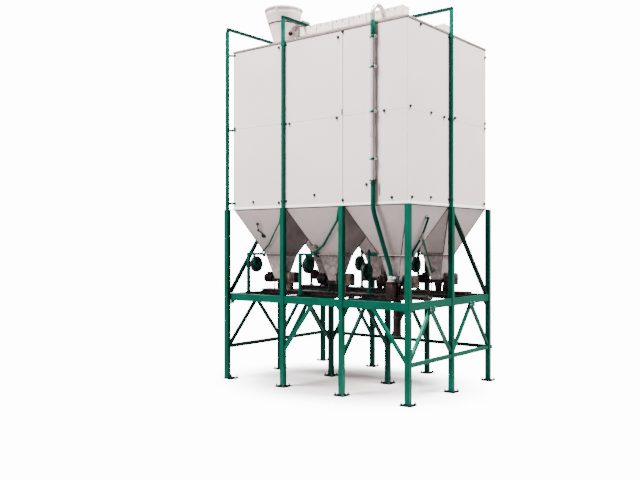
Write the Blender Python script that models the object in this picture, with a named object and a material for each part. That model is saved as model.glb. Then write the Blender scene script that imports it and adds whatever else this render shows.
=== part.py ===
"""Six-cell grain silo: sheet-metal bin on a braced steel stand, modelled at real size in metres.

The origin is the centre of the stand's footprint at ground level. +Z is up, the three-bay
long side faces -Y and the two-bay end face that shows best faces +X.
"""
import math

import bmesh
import bpy
from mathutils import Matrix, Vector

# Layout of the stand
BAY_X = 1.20            # leg spacing along the long side
BAY_Y = 1.30            # leg spacing along the end
LEG = 0.080             # square tube of the legs
POST = 0.050            # square tube of the posts above the leg tops
BASE_PLATE = 0.190
BASE_PLATE_T = 0.018
FIT = 0.0003            # gap left between pieces that touch
X_LINES = [BAY_X * (i - 1.5) for i in range(4)]
Y_FRONT, Y_MIDDLE, Y_BACK = -BAY_Y, 0.0, BAY_Y

# Levels above the ground
RING_Z = 0.576          # centre of the ring beams
PLATFORM_Z = 1.429      # centre of the platform beams
OUTLET_Z = 1.740        # bottom edge of the hoppers
SEAM_Z = 2.170          # flange between pyramid and lower funnel
LEG_TOP_Z = 2.940
COLLAR_Z = 2.955        # the hoppers' collars start here
COLLAR_TOP_Z = 2.990
RAIL_TOP_Z = 2.980
WALL_TOP_Z = 5.680
POST_TOP_Z = 6.050

# Sections
PLATFORM_H = 0.120
PLATFORM_W = 0.060
RING = 0.060
BRACE = 0.050
STRUT = 0.060
STRUT_T = 0.055
STRUT_FOOT_Z = 1.440    # the struts' centre lines aim here, at the legs' faces
STRUT_LEFT_TOP_Z = 3.120
STRUT_RIGHT_TOP_Z = 2.830
BRACE_FOOT_Z = 0.630
BRACE_LAP = 0.005       # how far the two braces of an inverted V run into each other
CORNER_SHIFT = 0.045    # the front left leg stands this far outside the bin's corner
STRUT_SHIFT = 0.0528    # the left strut passes outside the drive's pedestal
LUG_T = 0.012           # plate that carries the wall's corner on the shifted leg
STAY_RADII = (0.014, 0.020)     # round stays between leg tops and the drives' arms
STAY_TOP_DROP = 0.040
STAY_BACK = 0.010       # the top ends lie this far behind the legs' middle
STAY_UPPER = (-0.16, -1.20, 2.72)       # upper bend; x from the leg's line
STAY_LOWER = (-0.02, -0.965, 2.33)      # lower bend; x from the hopper's middle
STAY_ENDS = ((-0.24, 2.20), (-0.27, 2.16))  # x from the hopper's middle, and z, where it lies on the arm

# Bin
WALL_X = 1.770          # outer face of the end walls
WALL_Y = 1.270          # outer face of the long walls
SHEET = 0.005
PROUD = 0.0047          # rail and rim stand this far out of the sheet
RIM_H = 0.025
ROOF_T = 0.005

# Hoppers
HOPPER_SHEET = 0.006
SEAM_HALF = 0.195
FLANGE_HALF = 0.220
FLANGE_T = 0.012
OUTLET_HALF = 0.085

# Conveying gear below the hoppers
ROW_Y = 0.650           # distance of the two hopper rows from the middle
TROUGH_W = 0.260
TROUGH_TOP_Z = 1.550
TROUGH_X = {"front": (-1.400, 1.760), "back": (-1.760, 1.760)}
GATE = 0.200
GEARBOX_X = (0.128, 0.345)              # stirrer gearboxes, from the outlet's middle
GEARBOX_W = 0.130
GEARBOX_Z = (1.665, 1.860)
GEARBOX_FOOT = (0.090, 0.240)           # the stand under a gearbox, also along X
GEARBOX_FOOT_W = 0.090
MOTOR_X = (-0.355, -0.200)              # stirrer motors on the other side of the outlet
MOTOR_R = 0.080
MOTOR_Z = 1.745
MOTOR_SHAFT_R = 0.030
BOOT = 0.120            # inlet box of the down pipe, beside the gate
BOOT_Y = (-0.885, -0.765)
BOOT_TOP_Z = 1.760
PEDESTAL = 0.050
PEDESTAL_Y = 0.860      # pedestals stand on the cross beams, outside the troughs
SLIM_PEDESTAL = 0.035   # those that stand on a trough's edge, each beside its wheel
ARM_TOP_Z = 2.190
ARM = 0.040
ARM_SINK = 0.0015       # a pedestal ends this far under its arm's top face
HANGER = 0.036
WHEEL_Y = 0.755         # belt wheels turn over the troughs' outer edges
WHEEL_Z = 1.985
WHEEL_DROP = 0.080      # the last front wheel hangs this much lower
WHEEL_STEP = 0.095      # how far a wheel stands past the cross beam's line
WHEEL_R = 0.142
WHEEL_BORE = 0.112
WHEEL_W = 0.046
WHEEL_WEB = 0.012
HUB_R = 0.062
HUB_L = 0.110
BEARING_OFF = 0.045     # the bars that hold a wheel's hub stand this far beside its middle

# Pipes
PIPE_Y = -1.325
RISER_R = 0.033
RISER_X = BAY_X
RISER_FOOT_Z = 3.285
RISER_BEND_R = 0.150
RISER_BEND_Z = 5.800
CLAMPS_Z = (3.62, 4.33, 5.00, 5.45)
CLAMP_HALF = (0.055, 0.012, 0.020)      # clamp bars: half width, reach past the pipe's centre, half height
DOWN_R = 0.035
DOWN_TURNS_Z = (2.870, 1.908)           # where the down pipe's straight runs would meet
DOWN_BEND_R = 0.450
BRANCH_R = 0.018        # forked pipe between the last front hopper and the one behind it
BRANCH_CLEAR = 0.045
BRANCH_TOP = (-0.573, 2.763)            # y and z of its socket on the hopper's end face
BRANCH_FORK = (-0.539, 2.485)
BRANCH_NEAR_Z = (2.215, 2.150)
BRANCH_FAR = (1.180, 1.888)             # x and z of its end on the funnel behind
BRANCH_ELBOW = 0.060
SPOUT_R = 0.065
SPOUT_FLANGE_R = 0.098
SPOUT_FLANGE_T = 0.015
SPOUT_END_Z = 0.890

# Gear on the roof
CONVEYOR_W = 0.200
CONVEYOR_Z = (5.900, 6.040)
CONVEYOR_X = (-0.690, 1.360)
CONVEYOR_SPOUT = 0.160
CONE_X = -1.150
CONE_NECK_R = 0.125
CONE_R = 0.315
CONE_RIM_Z = 6.340      # the rolled rim starts here
CONE_LID_R = 0.335
CONE_LID_Z = 6.420
CONE_TOP_Z = 6.440
CONE_FOOT = (0.165, 0.030)              # radius and thickness of the foot flange
ROOF_DRIVE = (0.165, 0.200)             # gearbox: along and across the conveyor
ROOF_DRIVE_Z = (5.860, 6.190)
ROOF_DRIVE_OFF = 0.070                  # gearboxes stand this far off the conveyor's line
ROOF_STAND = (0.090, 0.060)


def material(name, colour, roughness, metallic=0.0):
    made = bpy.data.materials.new(name)
    made.use_nodes = True
    shader = made.node_tree.nodes["Principled BSDF"]
    shader.inputs["Base Color"].default_value = (*colour, 1.0)
    shader.inputs["Roughness"].default_value = roughness
    shader.inputs["Metallic"].default_value = metallic
    return made


def clear_scene():
    for old in list(bpy.data.objects):
        bpy.data.objects.remove(old, do_unlink=True)


def place(name, mesh, finish, parent, rounded=False):
    """Puts a finished mesh into the scene as one named piece."""
    mesh.name = name
    mesh.materials.clear()
    mesh.materials.append(finish)
    if rounded:
        mesh.shade_smooth()
        mesh.set_sharp_from_angle(angle=math.radians(35))
    made = bpy.data.objects.new(name, mesh)
    made.parent = parent
    bpy.context.scene.collection.objects.link(made)
    return made


def mesh_from(bm):
    bmesh.ops.recalc_face_normals(bm, faces=bm.faces)
    mesh = bpy.data.meshes.new("shape")
    bm.to_mesh(mesh)
    bm.free()
    return mesh


def block(low, high):
    """A plain box between two corners."""
    bm = bmesh.new()
    size = [b - a for a, b in zip(low, high)]
    middle = [(a + b) / 2 for a, b in zip(low, high)]
    bmesh.ops.create_cube(bm, size=1.0)
    bmesh.ops.scale(bm, vec=size, verts=bm.verts)
    bmesh.ops.translate(bm, vec=middle, verts=bm.verts)
    return mesh_from(bm)


def slab(outline, axis, low, high):
    """An outline in the plane across one axis ('x' or 'y'), extruded from low to high along it."""
    bm = bmesh.new()
    if axis == "x":
        ring = [bm.verts.new((low, a, b)) for a, b in outline]
        step = Vector((high - low, 0, 0))
    else:
        ring = [bm.verts.new((a, low, b)) for a, b in outline]
        step = Vector((0, high - low, 0))
    face = bm.faces.new(ring)
    grown = bmesh.ops.extrude_face_region(bm, geom=[face])
    moved = [v for v in grown["geom"] if isinstance(v, bmesh.types.BMVert)]
    bmesh.ops.translate(bm, vec=step, verts=moved)
    return mesh_from(bm)


def drum(radius, low, high, sides=24, radius_high=None):
    """A round bar or cone between two points."""
    start, end = Vector(low), Vector(high)
    along = end - start
    bm = bmesh.new()
    bmesh.ops.create_cone(
        bm, cap_ends=True, segments=sides, radius1=radius,
        radius2=radius if radius_high is None else radius_high, depth=along.length)
    turn = along.to_track_quat("Z", "Y").to_matrix().to_4x4()
    bmesh.ops.transform(bm, matrix=Matrix.Translation((start + end) / 2) @ turn, verts=bm.verts)
    return mesh_from(bm)


def weld(meshes):
    """Joins overlapping closed meshes into one closed body with Boolean unions."""
    scene = bpy.context.scene.collection
    body = bpy.data.objects.new("weld_body", meshes[0])
    scene.objects.link(body)
    for extra in meshes[1:]:
        tool = bpy.data.objects.new("weld_tool", extra)
        scene.objects.link(tool)
        union = body.modifiers.new("union", "BOOLEAN")
        union.operation = "UNION"
        union.solver = "EXACT"
        union.object = tool
        graph = bpy.context.evaluated_depsgraph_get()
        merged = bpy.data.meshes.new_from_object(body.evaluated_get(graph))
        body.modifiers.clear()
        body.data = merged
        bpy.data.objects.remove(tool, do_unlink=True)
    result = body.data
    bpy.data.objects.remove(body, do_unlink=True)
    return result


def sloping_bar(start, end, depth, cut_low=None):
    """Side outline of a bar between two points, its ends cut upright, or the upper one level at cut_low."""
    (u0, z0), (u1, z1) = start, end
    angle = math.atan2(z1 - z0, abs(u1 - u0))
    half = depth / 2 / math.cos(angle)
    if cut_low is None:
        return [(u0, z0 - half), (u1, z1 - half), (u1, z1 + half), (u0, z0 + half)]
    along = (u1 - u0) / (z1 - z0)
    u_under = u0 + along * (cut_low - (z0 - half))
    u_over = u0 + along * (cut_low - (z0 + half))
    return [(u0, z0 - half), (u_under, cut_low), (u_over, cut_low), (u0, z0 + half)]


def leg_mesh(x, y, top, post_top=None, shift=0.0):
    """Base plate, square leg and, where the leg carries one, the thinner post on top."""
    half_plate, half_leg, half_post = BASE_PLATE / 2, LEG / 2, POST / 2
    bm = bmesh.new()
    steps = [(0.0, half_plate, 0.0), (BASE_PLATE_T, half_plate, 0.0),
             (BASE_PLATE_T, half_leg, shift), (top, half_leg, shift)]
    if post_top is not None:
        steps += [(top, half_post, shift), (post_top, half_post, shift)]
    rings = []
    for z, half, off in steps:
        corners = [(-half, -half), (half, -half), (half, half), (-half, half)]
        rings.append([bm.verts.new((x + a - off, y + b - off, z)) for a, b in corners])
    bm.faces.new(rings[0][::-1])
    bm.faces.new(rings[-1])
    for low, high in zip(rings, rings[1:]):
        for i in range(4):
            j = (i + 1) % 4
            bm.faces.new((low[i], low[j], high[j], high[i]))
    return mesh_from(bm)


def build_legs(paint, root):
    with_post = (0, 1)
    for row, y in (("front", Y_FRONT), ("back", Y_BACK)):
        for i, x in enumerate(X_LINES):
            post_top = POST_TOP_Z if i in with_post else None
            if (row, i) == ("front", 0):
                outer = FIT - LEG / 2 - CORNER_SHIFT
                inner = LEG / 2 - 2 * FIT
                lug = block((x + outer, y + outer, LEG_TOP_Z - LUG_T), (x + inner, y + inner, LEG_TOP_Z))
                mesh = weld([leg_mesh(x, y, LEG_TOP_Z - LUG_T / 2, post_top, CORNER_SHIFT), lug])
            else:
                mesh = leg_mesh(x, y, LEG_TOP_Z, post_top)
            place(f"leg_{row}_{i + 1}", mesh, paint, root)


def build_cross_frames(paint, root):
    """The four frames across the stand: a middle leg, the platform beam and the inverted-V braces."""
    reach = BAY_Y - LEG / 2 - FIT
    beam_low, beam_high = PLATFORM_Z - PLATFORM_H / 2, PLATFORM_Z + PLATFORM_H / 2
    names = ("end_frame_left", "inner_frame_1", "inner_frame_2", "end_frame_right")
    slope_y = (BAY_Y / 2 - SEAM_HALF) / (COLLAR_Z - SEAM_Z - FLANGE_T / 2)
    inner_top = COLLAR_Z - (LEG / 2 + 2 * FIT) / slope_y
    for i, (name, x) in enumerate(zip(names, X_LINES)):
        is_end = i in (0, 3)
        top = LEG_TOP_Z if is_end else inner_top
        post_top = POST_TOP_Z if is_end else None
        front_reach = -reach - (CORNER_SHIFT if i == 0 else 0.0)
        parts = [leg_mesh(x, Y_MIDDLE, top, post_top)]
        half = PLATFORM_W / 2
        parts.append(block((x - half, front_reach, beam_low), (x + half, reach, beam_high)))
        if is_end:
            half = RING / 2
            parts.append(block((x - half, front_reach, RING_Z - half), (x + half, reach, RING_Z + half)))
        for side, outer_foot in ((-1, front_reach), (1, reach)):
            apex = side * BAY_Y / 2
            inner_foot = side * LEG / 4
            for foot in (outer_foot, inner_foot):
                past = BRACE_LAP if foot > apex else -BRACE_LAP
                outline = sloping_bar((foot, BRACE_FOOT_Z), (apex - past, beam_low), BRACE)
                parts.append(slab(outline, "x", x - BRACE / 2, x + BRACE / 2))
        place(name, weld(parts), paint, root)


def build_long_beams(paint, root):
    half = PLATFORM_W / 2
    low_z, high_z = PLATFORM_Z - PLATFORM_H / 2, PLATFORM_Z + PLATFORM_H / 2
    clear = LEG / 2 + FIT
    for row, y in (("front", Y_FRONT), ("back", Y_BACK)):
        for i, (x0, x1) in enumerate(zip(X_LINES, X_LINES[1:])):
            start = x0 + (half + FIT if (row, i) == ("front", 0) else clear)
            mesh = block((start, y - half, low_z), (x1 - clear, y + half, high_z))
            place(f"beam_{row}_{i + 1}", mesh, paint, root)
    y0 = Y_BACK + clear
    end = X_LINES[3] + LEG / 2
    mesh = block((-end, y0, RING_Z - RING / 2), (end, y0 + BRACE, RING_Z + RING / 2))
    place("ring_beam_back", mesh, paint, root)


def build_front_diagonals(paint, root):
    """Single braces of the front: from a leg at ring height to the middle of the next bay's beam."""
    cut = PLATFORM_Z - PLATFORM_H / 2 - FIT
    runs = ((X_LINES[1], 1), (X_LINES[3], -1))
    for i, (x_leg, way) in enumerate(runs):
        foot = x_leg + way * (LEG / 2 + FIT)
        outline = sloping_bar((foot, BRACE_FOOT_Z), (x_leg + way * BAY_X / 2, cut), BRACE, cut_low=cut)
        mesh = slab(outline, "y", Y_FRONT - BRACE / 2, Y_FRONT + BRACE / 2)
        place(f"front_diagonal_{i + 1}", mesh, paint, root)


def build_upper_struts(paint, root):
    """One strut in each end plane, from the platform beam beside an outer leg up to the middle leg."""
    clear = LEG / 2 + FIT
    cut = PLATFORM_Z + PLATFORM_H / 2 + FIT
    top = (-(POST / 2 + FIT), STRUT_LEFT_TOP_Z)
    foot = (-(BAY_Y + CORNER_SHIFT - clear), STRUT_FOOT_Z)
    x = X_LINES[0] - STRUT_SHIFT
    mesh = slab(sloping_bar(top, foot, STRUT, cut_low=cut), "x", x - STRUT_T / 2, x + STRUT_T / 2)
    place("upper_strut_left", mesh, paint, root)
    outline = sloping_bar((clear, STRUT_RIGHT_TOP_Z), (BAY_Y - clear, STRUT_FOOT_Z), STRUT, cut_low=cut)
    x = X_LINES[3]
    place("upper_strut_right", slab(outline, "x", x - STRUT_T / 2, x + STRUT_T / 2), paint, root)


def build_walls(sheet_paint, root):
    """Four sheet walls. Each carries a rail along its foot and a rim along its top."""
    def outline(outer, side):
        inner = outer - SHEET
        proud = outer + PROUD
        foot = LEG_TOP_Z + FIT
        points = [(inner, foot), (proud, foot), (proud, RAIL_TOP_Z), (outer, RAIL_TOP_Z),
                  (outer, WALL_TOP_Z - RIM_H), (proud, WALL_TOP_Z - RIM_H), (proud, WALL_TOP_Z),
                  (inner, WALL_TOP_Z)]
        return [(side * u, z) for u, z in points]

    end_x = WALL_X + PROUD
    end_y = WALL_Y - SHEET - FIT
    for name, side in (("wall_front", -1), ("wall_back", 1)):
        place(name, slab(outline(WALL_Y, side), "x", -end_x, end_x), sheet_paint, root)
    for name, side in (("wall_left", -1), ("wall_right", 1)):
        place(name, slab(outline(WALL_X, side), "y", -end_y, end_y), sheet_paint, root)
    low_z = WALL_TOP_Z + FIT
    reach_x, reach_y = WALL_X + PROUD, WALL_Y + PROUD
    mesh = block((-reach_x, -reach_y, low_z), (reach_x, reach_y, low_z + ROOF_T))
    place("roof_deck", mesh, sheet_paint, root)


def hopper_mesh(x_span, y_span, centre):
    """Collar, pyramid, flange and lower funnel of one hopper, as one open shell of sheet."""
    def span_ring(inset, z):
        return (x_span[0] + inset, x_span[1] - inset, y_span[0] + inset, y_span[1] - inset, z)

    def square_ring(half, z):
        return (centre[0] - half, centre[0] + half, centre[1] - half, centre[1] + half, z)

    flange_low, flange_high = SEAM_Z - FLANGE_T / 2, SEAM_Z + FLANGE_T / 2
    outside = [
        span_ring(0, COLLAR_TOP_Z), span_ring(0, COLLAR_Z),
        square_ring(SEAM_HALF, flange_high), square_ring(FLANGE_HALF, flange_high),
        square_ring(FLANGE_HALF, flange_low), square_ring(SEAM_HALF, flange_low),
        square_ring(OUTLET_HALF, OUTLET_Z)]
    inside = [
        square_ring(OUTLET_HALF - HOPPER_SHEET, OUTLET_Z), square_ring(SEAM_HALF - HOPPER_SHEET, SEAM_Z),
        span_ring(HOPPER_SHEET, COLLAR_Z), span_ring(HOPPER_SHEET, COLLAR_TOP_Z)]
    bm = bmesh.new()
    rings = []
    for x0, x1, y0, y1, z in outside + inside:
        rings.append([bm.verts.new((x, y, z)) for x, y in ((x0, y0), (x1, y0), (x1, y1), (x0, y1))])
    for low, high in zip(rings, rings[1:] + rings[:1]):
        for i in range(4):
            j = (i + 1) % 4
            bm.faces.new((low[i], low[j], high[j], high[i]))
    return mesh_from(bm)


def build_hoppers(sheet_paint, root):
    inner_x, inner_y = WALL_X - SHEET - FIT, WALL_Y - SHEET - FIT
    edges = [-inner_x, X_LINES[1], X_LINES[2], inner_x]
    for row, side in (("front", -1), ("back", 1)):
        y_span = sorted((side * inner_y, side * FIT))
        for i in range(3):
            x0 = edges[i] + (FIT if i > 0 else 0)
            x1 = edges[i + 1] - (FIT if i < 2 else 0)
            centre = (BAY_X * (i - 1), side * ROW_Y)
            place(f"hopper_{row}_{i + 1}", hopper_mesh((x0, x1), y_span, centre), sheet_paint, root)


def build_troughs(dark_paint, root):
    """Trough conveyors under the rows of outlets. Each outlet has a gate box, a gearbox and a motor."""
    base_z = PLATFORM_Z + PLATFORM_H / 2 + FIT
    for row, side in (("front", -1), ("back", 1)):
        y = side * ROW_Y
        half, lap = TROUGH_W / 2, 0.02
        start_x, end_x = TROUGH_X[row]
        parts = [block((start_x, y - half, base_z), (end_x, y + half, TROUGH_TOP_Z))]
        for i in range(3):
            x = BAY_X * (i - 1)
            half = GATE / 2
            low = (x - half, y - half, TROUGH_TOP_Z - lap)
            parts.append(block(low, (x + half, y + half, OUTLET_Z - FIT)))
            low_x, high_x = (x + end for end in GEARBOX_X)
            wide = GEARBOX_W / 2
            parts.append(block((low_x, y - wide, GEARBOX_Z[0]), (high_x, y + wide, GEARBOX_Z[1])))
            low_x, high_x = (x + end for end in GEARBOX_FOOT)
            wide = GEARBOX_FOOT_W / 2
            low = (low_x, y - wide, TROUGH_TOP_Z - lap)
            parts.append(block(low, (high_x, y + wide, GEARBOX_Z[0] + lap)))
            low_x, high_x = (x + end for end in MOTOR_X)
            parts.append(drum(MOTOR_R, (low_x, y, MOTOR_Z), (high_x, y, MOTOR_Z)))
            shaft_z = OUTLET_Z - FIT - MOTOR_SHAFT_R
            start, end = (high_x - lap, y, shaft_z), (x - half + lap, y, shaft_z)
            parts.append(drum(MOTOR_SHAFT_R, start, end, sides=16))
        if row == "front":
            parts.append(block((RISER_X - BOOT / 2, BOOT_Y[0], base_z + lap / 2),
                               (RISER_X + BOOT / 2, BOOT_Y[1], BOOT_TOP_Z - FIT)))
        place(f"trough_{row}", weld(parts), dark_paint, root, rounded=True)


def wheel_mesh(centre, sides=32):
    """A belt wheel turned on a level axis along X: hub, web and rim in one piece."""
    x, y, z = centre
    hub, web, rim = HUB_L / 2, WHEEL_WEB / 2, WHEEL_W / 2
    half_profile = [(HUB_R, hub), (HUB_R, web), (WHEEL_BORE, web), (WHEEL_BORE, rim), (WHEEL_R, rim)]
    profile = half_profile + [(radius, -offset) for radius, offset in reversed(half_profile)]
    turns = [2 * math.pi * k / sides for k in range(sides)]
    bm = bmesh.new()
    rings = [[bm.verts.new((x + offset, y + radius * math.cos(t), z + radius * math.sin(t))) for t in turns]
             for radius, offset in profile]
    bm.faces.new(rings[0])
    bm.faces.new(rings[-1][::-1])
    for low, high in zip(rings, rings[1:]):
        for k in range(sides):
            n = (k + 1) % sides
            bm.faces.new((low[k], low[n], high[n], high[k]))
    return mesh_from(bm)


def build_drives(paint, root):
    """Outlet drives: a stand with an arm to the hopper's flange, and a belt wheel.

    The first two of the front row stand on the cross beams, outside the trough, and their wheels
    hang from the arm. The others stand on the trough's edge and hold the wheel's hub themselves.
    """
    beam_top = PLATFORM_Z + PLATFORM_H / 2 + FIT
    for row, side in (("front", -1), ("back", 1)):
        for i in range(3):
            wheel_x, wheel_y = BAY_X * (i - 1.5) + WHEEL_STEP, side * WHEEL_Y
            wheel_z = WHEEL_Z - (WHEEL_DROP if (row, i) == ("front", 2) else 0.0)
            beside = wheel_x + BEARING_OFF
            on_beam = row == "front" and i < 2
            if on_beam:
                x, y, foot, half = BAY_X * (i - 1.5), side * PEDESTAL_Y, beam_top, PEDESTAL / 2
            else:
                x, y, foot, half = beside, wheel_y, TROUGH_TOP_Z + FIT, SLIM_PEDESTAL / 2
            arm_end = BAY_X * (i - 1) - FLANGE_HALF - FIT
            parts = [block((x - half, y - half, foot), (x + half, y + half, ARM_TOP_Z - ARM_SINK)),
                     block((x, y - ARM / 2, ARM_TOP_Z - ARM), (arm_end, y + ARM / 2, ARM_TOP_Z))]
            if on_beam:
                half = HANGER / 2
                near, far = sorted((y, wheel_y))
                parts.append(block((beside - ARM / 2, y - half, wheel_z),
                                   (beside + ARM / 2, y + half, ARM_TOP_Z - half)))
                parts.append(block((beside - half, near, wheel_z - half),
                                   (beside + half, far, wheel_z + half)))
            parts.append(wheel_mesh((wheel_x, wheel_y, wheel_z)))
            place(f"drive_{row}_{i + 1}", weld(parts), paint, root, rounded=True)


def pipe_mesh(route, radius, sides=16):
    """A round solid bar along a route of points, mitred at its bends."""
    bm = bmesh.new()
    points = [Vector(p) for p in route]
    across = (points[1] - points[0]).orthogonal().normalized()
    rings = []
    for i, point in enumerate(points):
        before = (point - points[i - 1]).normalized() if i > 0 else None
        after = (points[i + 1] - point).normalized() if i < len(points) - 1 else None
        if before is None or after is None:
            along, stretch = after or before, 1.0
        else:
            along = (before + after).normalized()
            stretch = 1.0 / along.dot(before)
        across = (across - across.dot(along) * along).normalized()
        up = along.cross(across)
        bend_way = (before - after) if before is not None and after is not None else Vector((0, 0, 0))
        ring = []
        for k in range(sides):
            turn = 2 * math.pi * k / sides
            spoke = math.cos(turn) * across + math.sin(turn) * up
            if bend_way.length > 1e-6:
                toward = bend_way.normalized()
                spoke += (stretch - 1.0) * spoke.dot(toward) * toward
            ring.append(bm.verts.new(point + radius * spoke))
        rings.append(ring)
    bm.faces.new(rings[0][::-1])
    bm.faces.new(rings[-1])
    for low, high in zip(rings, rings[1:]):
        for k in range(sides):
            n = (k + 1) % sides
            bm.faces.new((low[k], low[n], high[n], high[k]))
    return mesh_from(bm)


def bend(centre, radius, start_deg, end_deg, steps):
    """Points of a pipe bend in the plane x = constant."""
    x, y, z = centre
    turns = [math.radians(start_deg + (end_deg - start_deg) * k / steps) for k in range(steps + 1)]
    return [(x, y + radius * math.cos(t), z + radius * math.sin(t)) for t in turns]


def eased(points, radius, steps=6):
    """A route whose inner corners are drawn as arcs of one radius."""
    points = [Vector(p) for p in points]
    route = [points[0]]
    for before, corner, after in zip(points, points[1:], points[2:]):
        back, ahead = (before - corner).normalized(), (after - corner).normalized()
        half_angle = back.angle(ahead) / 2
        middle = corner + (back + ahead).normalized() * radius / math.sin(half_angle)
        run = radius / math.tan(half_angle)
        first, last = corner + back * run - middle, corner + ahead * run - middle
        route += [middle + first.slerp(last, k / steps) * radius for k in range(steps + 1)]
    route.append(points[-1])
    return route


def build_pipes(steel, paint, dark_paint, root):
    """The riser up the front wall and over the roof's edge, the down pipe and the discharge spout."""
    x = RISER_X
    down_y = PIPE_Y + 2 * RISER_BEND_R
    route = [(x, PIPE_Y, RISER_FOOT_Z)]
    route += bend((x, PIPE_Y + RISER_BEND_R, RISER_BEND_Z), RISER_BEND_R, 180, 0, 12)
    route.append((x, down_y, WALL_TOP_Z + ROOF_T + 2 * FIT))
    parts = [pipe_mesh(route, RISER_R)]
    wide, proud, tall = CLAMP_HALF
    for z in CLAMPS_Z:
        parts.append(block((x - wide, PIPE_Y - proud, z - tall), (x + wide, -(WALL_Y + FIT), z + tall)))
    place("riser_pipe", weld(parts), steel, root, rounded=True)

    boot_y = sum(BOOT_Y) / 2
    high_z, low_z = DOWN_TURNS_Z
    route = eased([(x, PIPE_Y, RISER_FOOT_Z - FIT), (x, PIPE_Y, high_z), (x, boot_y, low_z),
                   (x, boot_y, BOOT_TOP_Z)], DOWN_BEND_R)
    place("down_pipe", pipe_mesh(route, DOWN_R), paint, root, rounded=True)

    top = PLATFORM_Z + PLATFORM_H / 2
    y = -ROW_Y
    parts = [drum(SPOUT_R, (x, y, SPOUT_END_Z), (x, y, top - SPOUT_FLANGE_T / 2), sides=20),
             drum(SPOUT_FLANGE_R, (x, y, top - SPOUT_FLANGE_T), (x, y, top), sides=20)]
    place("discharge_spout", weld(parts), dark_paint, root, rounded=True)


def build_branch_pipe(paint, root):
    """A thin pipe from a socket on the last front hopper, forked to its flange and to the funnel behind."""
    foot_x, foot_z = BAY_X + SEAM_HALF, SEAM_Z + FLANGE_T / 2
    lean = (WALL_X - SHEET - FIT - foot_x) / (COLLAR_Z - foot_z)
    out = Vector((1, 0, -lean)).normalized()

    def off_face(y, z, clear):
        return Vector((foot_x + lean * (z - foot_z), y, z)) + out * clear

    fork = off_face(*BRANCH_FORK, BRANCH_CLEAR)
    edge_x = BAY_X + FLANGE_HALF + BRANCH_R + FIT
    near = [Vector((edge_x, BRANCH_TOP[0], z)) for z in BRANCH_NEAR_Z]
    main = [off_face(*BRANCH_TOP, FIT), off_face(*BRANCH_TOP, BRANCH_CLEAR), fork] + near

    far_x, far_z = BRANCH_FAR
    lean = (SEAM_HALF - OUTLET_HALF) / (SEAM_Z - FLANGE_T / 2 - OUTLET_Z)
    out = Vector((0, -1, -lean)).normalized()
    seat = Vector((far_x, ROW_Y - OUTLET_HALF - lean * (far_z - OUTLET_Z), far_z))
    side = [fork, seat + out * BRANCH_ELBOW, seat + out * FIT]
    mesh = weld([pipe_mesh(main, BRANCH_R, sides=10), pipe_mesh(side, BRANCH_R, sides=10)])
    place("branch_pipe", mesh, paint, root, rounded=True)


def build_roof_gear(steel, dark_paint, root):
    """For each row a receiver cone over one cell and a conveyor housing over the other two."""
    roof_z = WALL_TOP_Z + ROOF_T + 2 * FIT
    low_z, high_z = CONVEYOR_Z
    start_x, end_x = CONVEYOR_X
    lap = 0.010
    foot_r, foot_t = CONE_FOOT
    for row, side in (("front", -1), ("back", 1)):
        y = side * ROW_Y
        levels = ((CONE_NECK_R, CONE_R, roof_z + foot_t - lap, CONE_RIM_Z),
                  (foot_r, foot_r, roof_z, roof_z + foot_t),
                  (CONE_R, CONE_R, CONE_RIM_Z - lap / 2, CONE_LID_Z),
                  (CONE_LID_R, CONE_LID_R, CONE_LID_Z - lap / 2, CONE_TOP_Z))
        parts = [drum(r_low, (CONE_X, y, z_low), (CONE_X, y, z_high), sides=32, radius_high=r_high)
                 for r_low, r_high, z_low, z_high in levels]
        place(f"receiver_cone_{row}", weld(parts), steel, root, rounded=True)

        half = CONVEYOR_W / 2
        parts = [block((start_x, y - half, low_z), (end_x, y + half, high_z))]
        half = CONVEYOR_SPOUT / 2
        for x in (0.0, BAY_X):
            parts.append(block((x - half, y - half, roof_z), (x + half, y + half, low_z + lap)))
        place(f"roof_conveyor_{row}", weld(parts), steel, root)

        head_y, head_end = y - side * ROOF_DRIVE_OFF, start_x - FIT
        long, wide = ROOF_DRIVE
        box = block((head_end - long, head_y - wide / 2, ROOF_DRIVE_Z[0]),
                    (head_end, head_y + wide / 2, ROOF_DRIVE_Z[1]))
        middle_x = head_end - long / 2
        half_x, half_y = ROOF_STAND[0] / 2, ROOF_STAND[1] / 2
        stand = block((middle_x - half_x, head_y - half_y, roof_z),
                      (middle_x + half_x, head_y + half_y, ROOF_DRIVE_Z[0] + lap))
        place(f"roof_drive_{row}", weld([box, stand]), dark_paint, root)


def build_stays(paint, root):
    """Round stays from two front leg tops, across the hoppers beside them to the drives' arms."""
    for i, radius in enumerate(STAY_RADII, 1):
        low_y = -(PEDESTAL_Y + ARM / 2 + radius + FIT)
        leg_x, hopper_x = X_LINES[i], BAY_X * (i - 2)
        route = [(leg_x - LEG / 2 - radius - FIT, Y_FRONT + STAY_BACK, LEG_TOP_Z - STAY_TOP_DROP),
                 (leg_x + STAY_UPPER[0], *STAY_UPPER[1:]), (hopper_x + STAY_LOWER[0], *STAY_LOWER[1:])]
        route += [(hopper_x + dx, low_y, z) for dx, z in STAY_ENDS]
        place(f"stay_{i}", pipe_mesh(route, radius, sides=10), paint, root, rounded=True)


def build_top_frame(paint, root):
    """Beams on the tall posts: two across the bin and one along its middle."""
    half = POST / 2
    low_z = POST_TOP_Z + FIT
    high_z = low_z + POST
    reach = BAY_Y + half
    lines = ((X_LINES[0] - CORNER_SHIFT / 2, -reach - CORNER_SHIFT), (X_LINES[1], -reach))
    for i, (x, front_y) in enumerate(lines):
        mesh = block((x - half, front_y, low_z), (x + half, reach, high_z))
        place(f"top_beam_{i + 1}", mesh, paint, root)
    start = X_LINES[1] + half + FIT
    mesh = block((start, -half, low_z), (X_LINES[3] + half, half, high_z))
    place("top_ridge", mesh, paint, root)


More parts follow.
